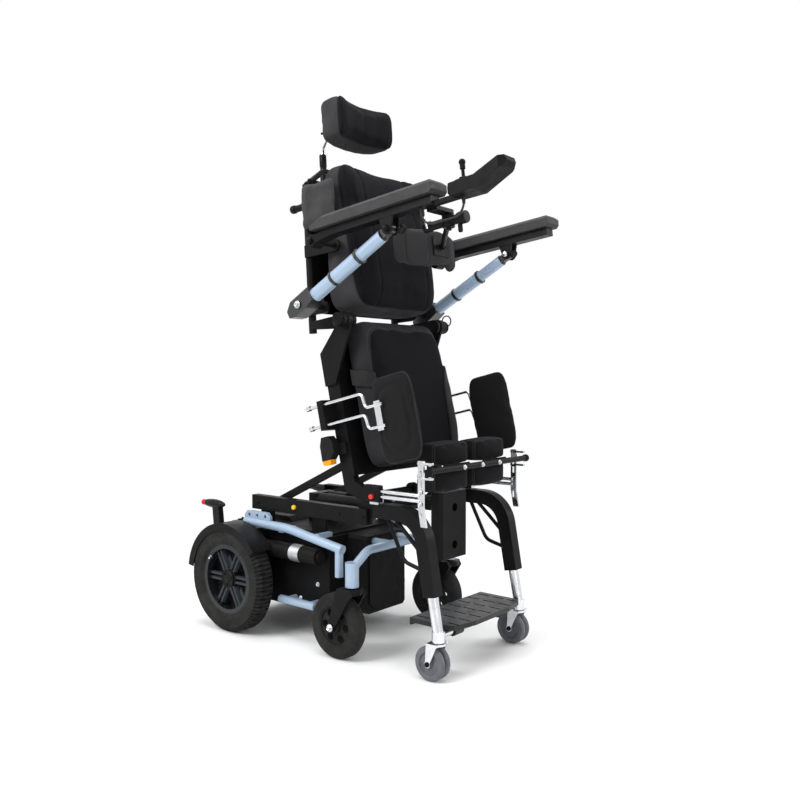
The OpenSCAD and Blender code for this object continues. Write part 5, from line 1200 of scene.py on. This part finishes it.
def rounded_route(corners, bend, steps=8):
    """The corner points as one smooth line, with an arc in place of each inner corner."""
    route = [Vector(corners[0])]
    for before, corner, after in zip(corners, corners[1:], corners[2:]):
        corner = Vector(corner)
        back = (Vector(before) - corner).normalized()
        on = (Vector(after) - corner).normalized()
        for step in range(steps + 1):
            turn = math.radians(90) * step / steps
            route.append(corner + bend * (back * (1 - math.sin(turn)) + on * (1 - math.cos(turn))))
    return route + [Vector(corners[-1])]


def make_cable():
    first_x, last_x = CABLE_CORNERS[0][0], CABLE_CORNERS[-1][0]
    middle_x = (first_x + last_x) / 2
    reach = abs(first_x - last_x) / 2
    route = []
    for x, z in rounded_route(CABLE_CORNERS, CABLE_BEND):
        sag = CABLE_SAG * (1 - ((x - middle_x) / reach) ** 2)
        route.append(arm_axes @ Vector((x, -ARM_Y, z - sag)))
    line = bpy.data.curves.new("control_cable", "CURVE")
    line.dimensions = "3D"
    line.bevel_depth = CABLE_D / 2
    line.bevel_resolution = 4
    line.use_fill_caps = True
    spline = line.splines.new("POLY")
    spline.points.add(len(route) - 1)
    for point, at in zip(spline.points, route):
        point.co = (*at, 1)
    cable = bpy.data.objects.new("control_cable", line)
    bpy.context.scene.collection.objects.link(cable)
    cable.data.materials.append(finish["cable_rubber"])
    sleeve = turned(CABLE_SLEEVE, 20)
    down = -arm_turn.col[2]
    for name, at in (("cable_sleeve_controller", route[0]), ("cable_sleeve_arm", route[-1])):
        fit(sleeve, [(at, down)], name, "arm_right", "cable_rubber")
    drop(sleeve)
    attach(cable, "arm_right")
    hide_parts("controller_cable")


# Places of the hardware in metres: in the chair's frame, or in the axes of the back or arm
SUNK = 0.0005
KNEE_BAR_X, KNEE_BAR_Z = 0.3606, 0.594
KNEE_BAR_BOLTS = (-0.088, 0.006, 0.100)
BRACKET_X = 0.322
BRACKET_BOLTS = (0.500, 0.534)
HUB_Y = 0.295
HUB_BOLT_REACH = 0.0225
HUB_BOLT_START = 0.3
HUB_BOLT_LEVEL = 0.0025
VALVE_Y = 0.300
VALVE_BACK, VALVE_UP = 0.082, 0.066
CASTER_X, CASTER_AXLE = 0.006, 0.1
LEG_CASTER_X, LEG_CASTER_AXLE = 0.340, 0.05
STRUT_BOLT = Vector((-0.097, 0, 0.051))
STRUT_BOLT_Y = 0.3375
ARM_CAP_Y = 0.3315
HOUSING_Y = 0.1775
HOUSING_SCREWS = ((-0.235, 0.128), (-0.155, 0.185), (-0.115, 0.315))
BEAM_Y, BEAM_Z = 0.1895, 0.428
BEAM_BOLTS = (-0.435, -0.05, 0.05)
MARKER_X, MARKER_Y = -0.250, 0.190
STUB_BACK, STUB_Y, STUB_UP = -0.222, 0.205, 0.384
CLEVIS_X, CLEVIS_Z = 0.293, -0.030
CLEVIS_OUTER, CLEVIS_INNER = 0.332, 0.284
CLEVIS_KNOB_X, CLEVIS_KNOB_Y, CLEVIS_KNOB_Z = 0.309, 0.293, -0.026
CLEVIS_KNOB_WAY = Vector((0.75, 0, -0.66))
LID_Z = 0.3498
LID_SCREWS_X, LID_SCREWS_Y = (-0.57, -0.36, -0.14), (-0.142, 0.142)
CLAMP_X, CLAMP_Y, CLAMP_Z = (0.114, 0.176), (0.2375, 0.2565), (0.491, 0.541)
CLAMP_EDGE, CLAMP_INSET, CLAMP_SINK = 0.004, 0.006, 0.0015
RELEASE_X, RELEASE_Y, RELEASE_Z = 0.146, 0.2548, 0.507


def fork_faces(node):
    """Distances of a fork's inner and outer face from the middle of the chair."""
    low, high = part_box(node)
    return sorted((abs(low[1]), abs(high[1])))


def nut_pair(sign, x, node, z):
    """Places of an axle's two nuts, on the outer and the inner face of its fork."""
    inner, outer = fork_faces(node)
    out = Vector((0, sign, 0))
    return [(Vector((x, sign * (outer - SUNK), z)), out), (Vector((x, sign * (inner + SUNK), z)), -out)]


def side_hardware(side, sign):
    """Model, places, name, body, finish and slot of each piece of hardware on one side."""
    out = Vector((0, sign, 0))

    def beside(x, y, z):
        return Vector((x, sign * y, z)), out

    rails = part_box("knee_rails")[1][1]
    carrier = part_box("back_carrier")[1][1]
    strut_bolt = back_axes @ STRUT_BOLT
    hinge = arm_axes.translation
    hub = [beside(AXLE_X, HUB_Y, AXLE_Z)]
    valve_at = beside(AXLE_X - VALVE_BACK, VALVE_Y, AXLE_Z + VALVE_UP)[0]
    stub_at = back_axes @ Vector((STUB_BACK, sign * STUB_Y, STUB_UP))
    outer = arm_axes @ Vector((CLEVIS_X, sign * (CLEVIS_OUTER - SUNK), CLEVIS_Z))
    inner = arm_axes @ Vector((CLEVIS_X, sign * (CLEVIS_INNER + SUNK), CLEVIS_Z))
    knob_at = arm_axes @ Vector((CLEVIS_KNOB_X, sign * CLEVIS_KNOB_Y, CLEVIS_KNOB_Z))
    drive, arm = "drive_" + side, "arm_" + side
    return (
        ("small", [beside(BRACKET_X, rails - SUNK, z) for z in BRACKET_BOLTS],
         "knee_bracket_bolts", "legs", "zinc", "chrome"),
        ("hub", hub, "hub_cap", drive, "guard_black", "rim"),
        ("hub_bolts", hub, "hub_bolts", drive, "alloy_black", "black_alloy"),
        ("valve", [(valve_at, (0.5, sign * 0.85, -0.2))], "tyre_valve", drive, "zinc", "chrome"),
        ("large", nut_pair(sign, CASTER_X, "caster_fork_" + side, CASTER_AXLE),
         "caster_nuts", "caster_" + side, "zinc", "chrome"),
        ("small", nut_pair(sign, LEG_CASTER_X, "leg_fork_" + side, LEG_CASTER_AXLE),
         "leg_wheel_nuts", "leg_caster_" + side, "alloy_black", "black_alloy"),
        ("knob", [beside(hip_at.x, carrier - SUNK, hip_at.z)],
         "hip_knob", "carrier", "housing_black", "black_plastic"),
        ("large", [beside(strut_bolt.x, STRUT_BOLT_Y, strut_bolt.z)],
         "strut_foot_bolt", "back", "zinc", "chrome"),
        ("cap", [beside(hinge.x, ARM_CAP_Y, hinge.z)],
         "arm_hinge_cap", "back", "alloy_black", "black_alloy"),
        ("small", [beside(x, HOUSING_Y, z) for x, z in HOUSING_SCREWS],
         "housing_screws", "chassis", "zinc", "chrome"),
        ("small", [beside(x, BEAM_Y, BEAM_Z) for x in BEAM_BOLTS],
         "beam_bolts", "chassis", "alloy_black", "black_paint"),
        ("stub", [(stub_at, -back_turn.col[0])], "push_stub_cap", "back", "handle_black", "black_plastic"),
        ("cap", [(outer, out)], "clevis_cap_outer", arm, "alloy_black", "chrome"),
        ("cap", [(inner, -out)], "clevis_cap_inner", arm, "zinc", "chrome"),
        ("hand_knob", [(knob_at, arm_turn @ CLEVIS_KNOB_WAY)],
         "clevis_knob", arm, "alloy_black", "black_alloy"),
    )


def hub_bolt_ring(bolt):
    """Three bolts round the hub of a drive wheel."""
    copies = []
    for number in range(3):
        turn = HUB_BOLT_START + number * 2 * math.pi / 3
        at = Vector((HUB_BOLT_REACH * math.cos(turn), HUB_BOLT_REACH * math.sin(turn), HUB_BOLT_LEVEL))
        copies.append(copy_at(bolt, towards(at, UP)))
    return join_all(copies)


def make_rail_clamp(side, sign):
    low_y, high_y = sorted(sign * y for y in CLAMP_Y)
    clamp = blocked((CLAMP_X[0], low_y, CLAMP_Z[0]), (CLAMP_X[1], high_y, CLAMP_Z[1]), CLAMP_EDGE)
    pick(clamp, lambda centre, out: out.y * sign > 0.95)
    sink_picked(CLAMP_INSET, (0, -sign * CLAMP_SINK, 0))
    settle(clamp, "rail_clamp_" + side, "legs", "housing_black")


def make_hardware():
    small = hex_bolt(0.0048, 0.0055)
    models = {
        "small": small,
        "large": hex_bolt(0.0075, 0.0085),
        "cap": dome_cap(0.0095, 0.009),
        "knob": grip_knob(0.0215, 0.013, lobes=7),
        "hand_knob": stemmed_knob(),
        "hub": turned(HUB_CAP, 40),
        "hub_bolts": hub_bolt_ring(small),
        "valve": turned(TYRE_VALVE, 16),
        "stub": turned(STUB_CAP),
        "button": turned(BUTTON, 24),
    }
    button = models["button"]
    knee_bar = [(Vector((KNEE_BAR_X, y, KNEE_BAR_Z)), AHEAD) for y in KNEE_BAR_BOLTS]
    fit(small, knee_bar, "knee_bar_bolts", "knee", "zinc")
    for side, sign in SIDES:
        for model, places, name, body, paint, slot in side_hardware(side, sign):
            fit(models[model], places, name + "_" + side, body, paint)
    lid = [(Vector((x, y, LID_Z)), UP) for x in LID_SCREWS_X for y in LID_SCREWS_Y]
    fit(small, lid, "lid_screws", "chassis", "alloy_black")
    for side, sign in SIDES:
        marker = [(Vector((MARKER_X, sign * MARKER_Y, BEAM_Z)), (0, sign, 0))]
        fit(button, marker, "beam_marker_" + side, "chassis", "yellow_plastic")
    for side, sign in SIDES:
        make_rail_clamp(side, sign)
        release = [(Vector((RELEASE_X, sign * RELEASE_Y, RELEASE_Z)), (0, sign, 0))]
        fit(button, release, "rail_release_" + side, "legs", "red_plastic")
    for used in models.values():
        drop(used)


def make_fittings():
    """Chest bracket tube, headrest sleeve and knob, stick collar, and the ring at the left hip."""
    rows = (
        (turned(CHEST_TUBE, 36), arm_axes @ Vector((0.348, -0.224, -0.0295)), arm_turn.col[0],
         "chest_tube", "chest", "alloy_black", "black_alloy"),
        (turned(CHEST_PIN, 20), arm_axes @ Vector((0.366, -0.236, -0.036)),
         arm_turn @ Vector((0, -0.35, 0.94)),
         "chest_tube_pin", "chest", "chrome", "chrome"),
        (turned(LEVER_GRIP, 20), arm_axes @ Vector((0.4674, -0.224, -0.0445)), -arm_turn.col[2],
         "chest_lever_grip", "chest", "handle_black", "black_plastic"),
        (turned(HEAD_SLEEVE, 32), back_axes @ Vector((-0.286, 0, 0.524)), back_turn.col[2],
         "headrest_sleeve", "head_stalk", "alloy_black", "black_alloy"),
        (grip_knob(0.0185, 0.015, lobes=6), back_axes @ Vector((-0.286, -0.0395, 0.503)), (0, -1, 0),
         "headrest_clamp_knob", "back", "housing_black", "black_plastic"),
        (ring(0.0236, 0.0050, flatten=0.8), arm_axes @ Vector((0.548, -ARM_Y, 0.0330)), arm_turn.col[2],
         "stick_collar", "arm_right", "handle_black", "black_plastic"),
        (ring(0.0185, 0.0022), seat_axes @ Vector((0.066, 0.2665, 0.553)), (0, 1, 0),
         "hip_ring_left", "carrier", "alloy_black", "black_alloy"),
    )
    for model, at, way, name, body, paint, slot in rows:
        fit(model, [(at, way)], name, body, paint)
        drop(model)


# The making, camera and cord first
bpy.ops.object.select_all(action="DESELECT")
bpy.context.scene.view_settings.view_transform = "Standard"
set_camera()
set_studio()
set_floor()
finish = make_finishes()
dress_nodes()
make_cable()
make_seat_cushion()
make_back_cushion()
make_headrest()
make_knee_pads()
make_hip_pads()
make_chest_pad()
make_hip_belt()
make_hardware()
make_fittings()
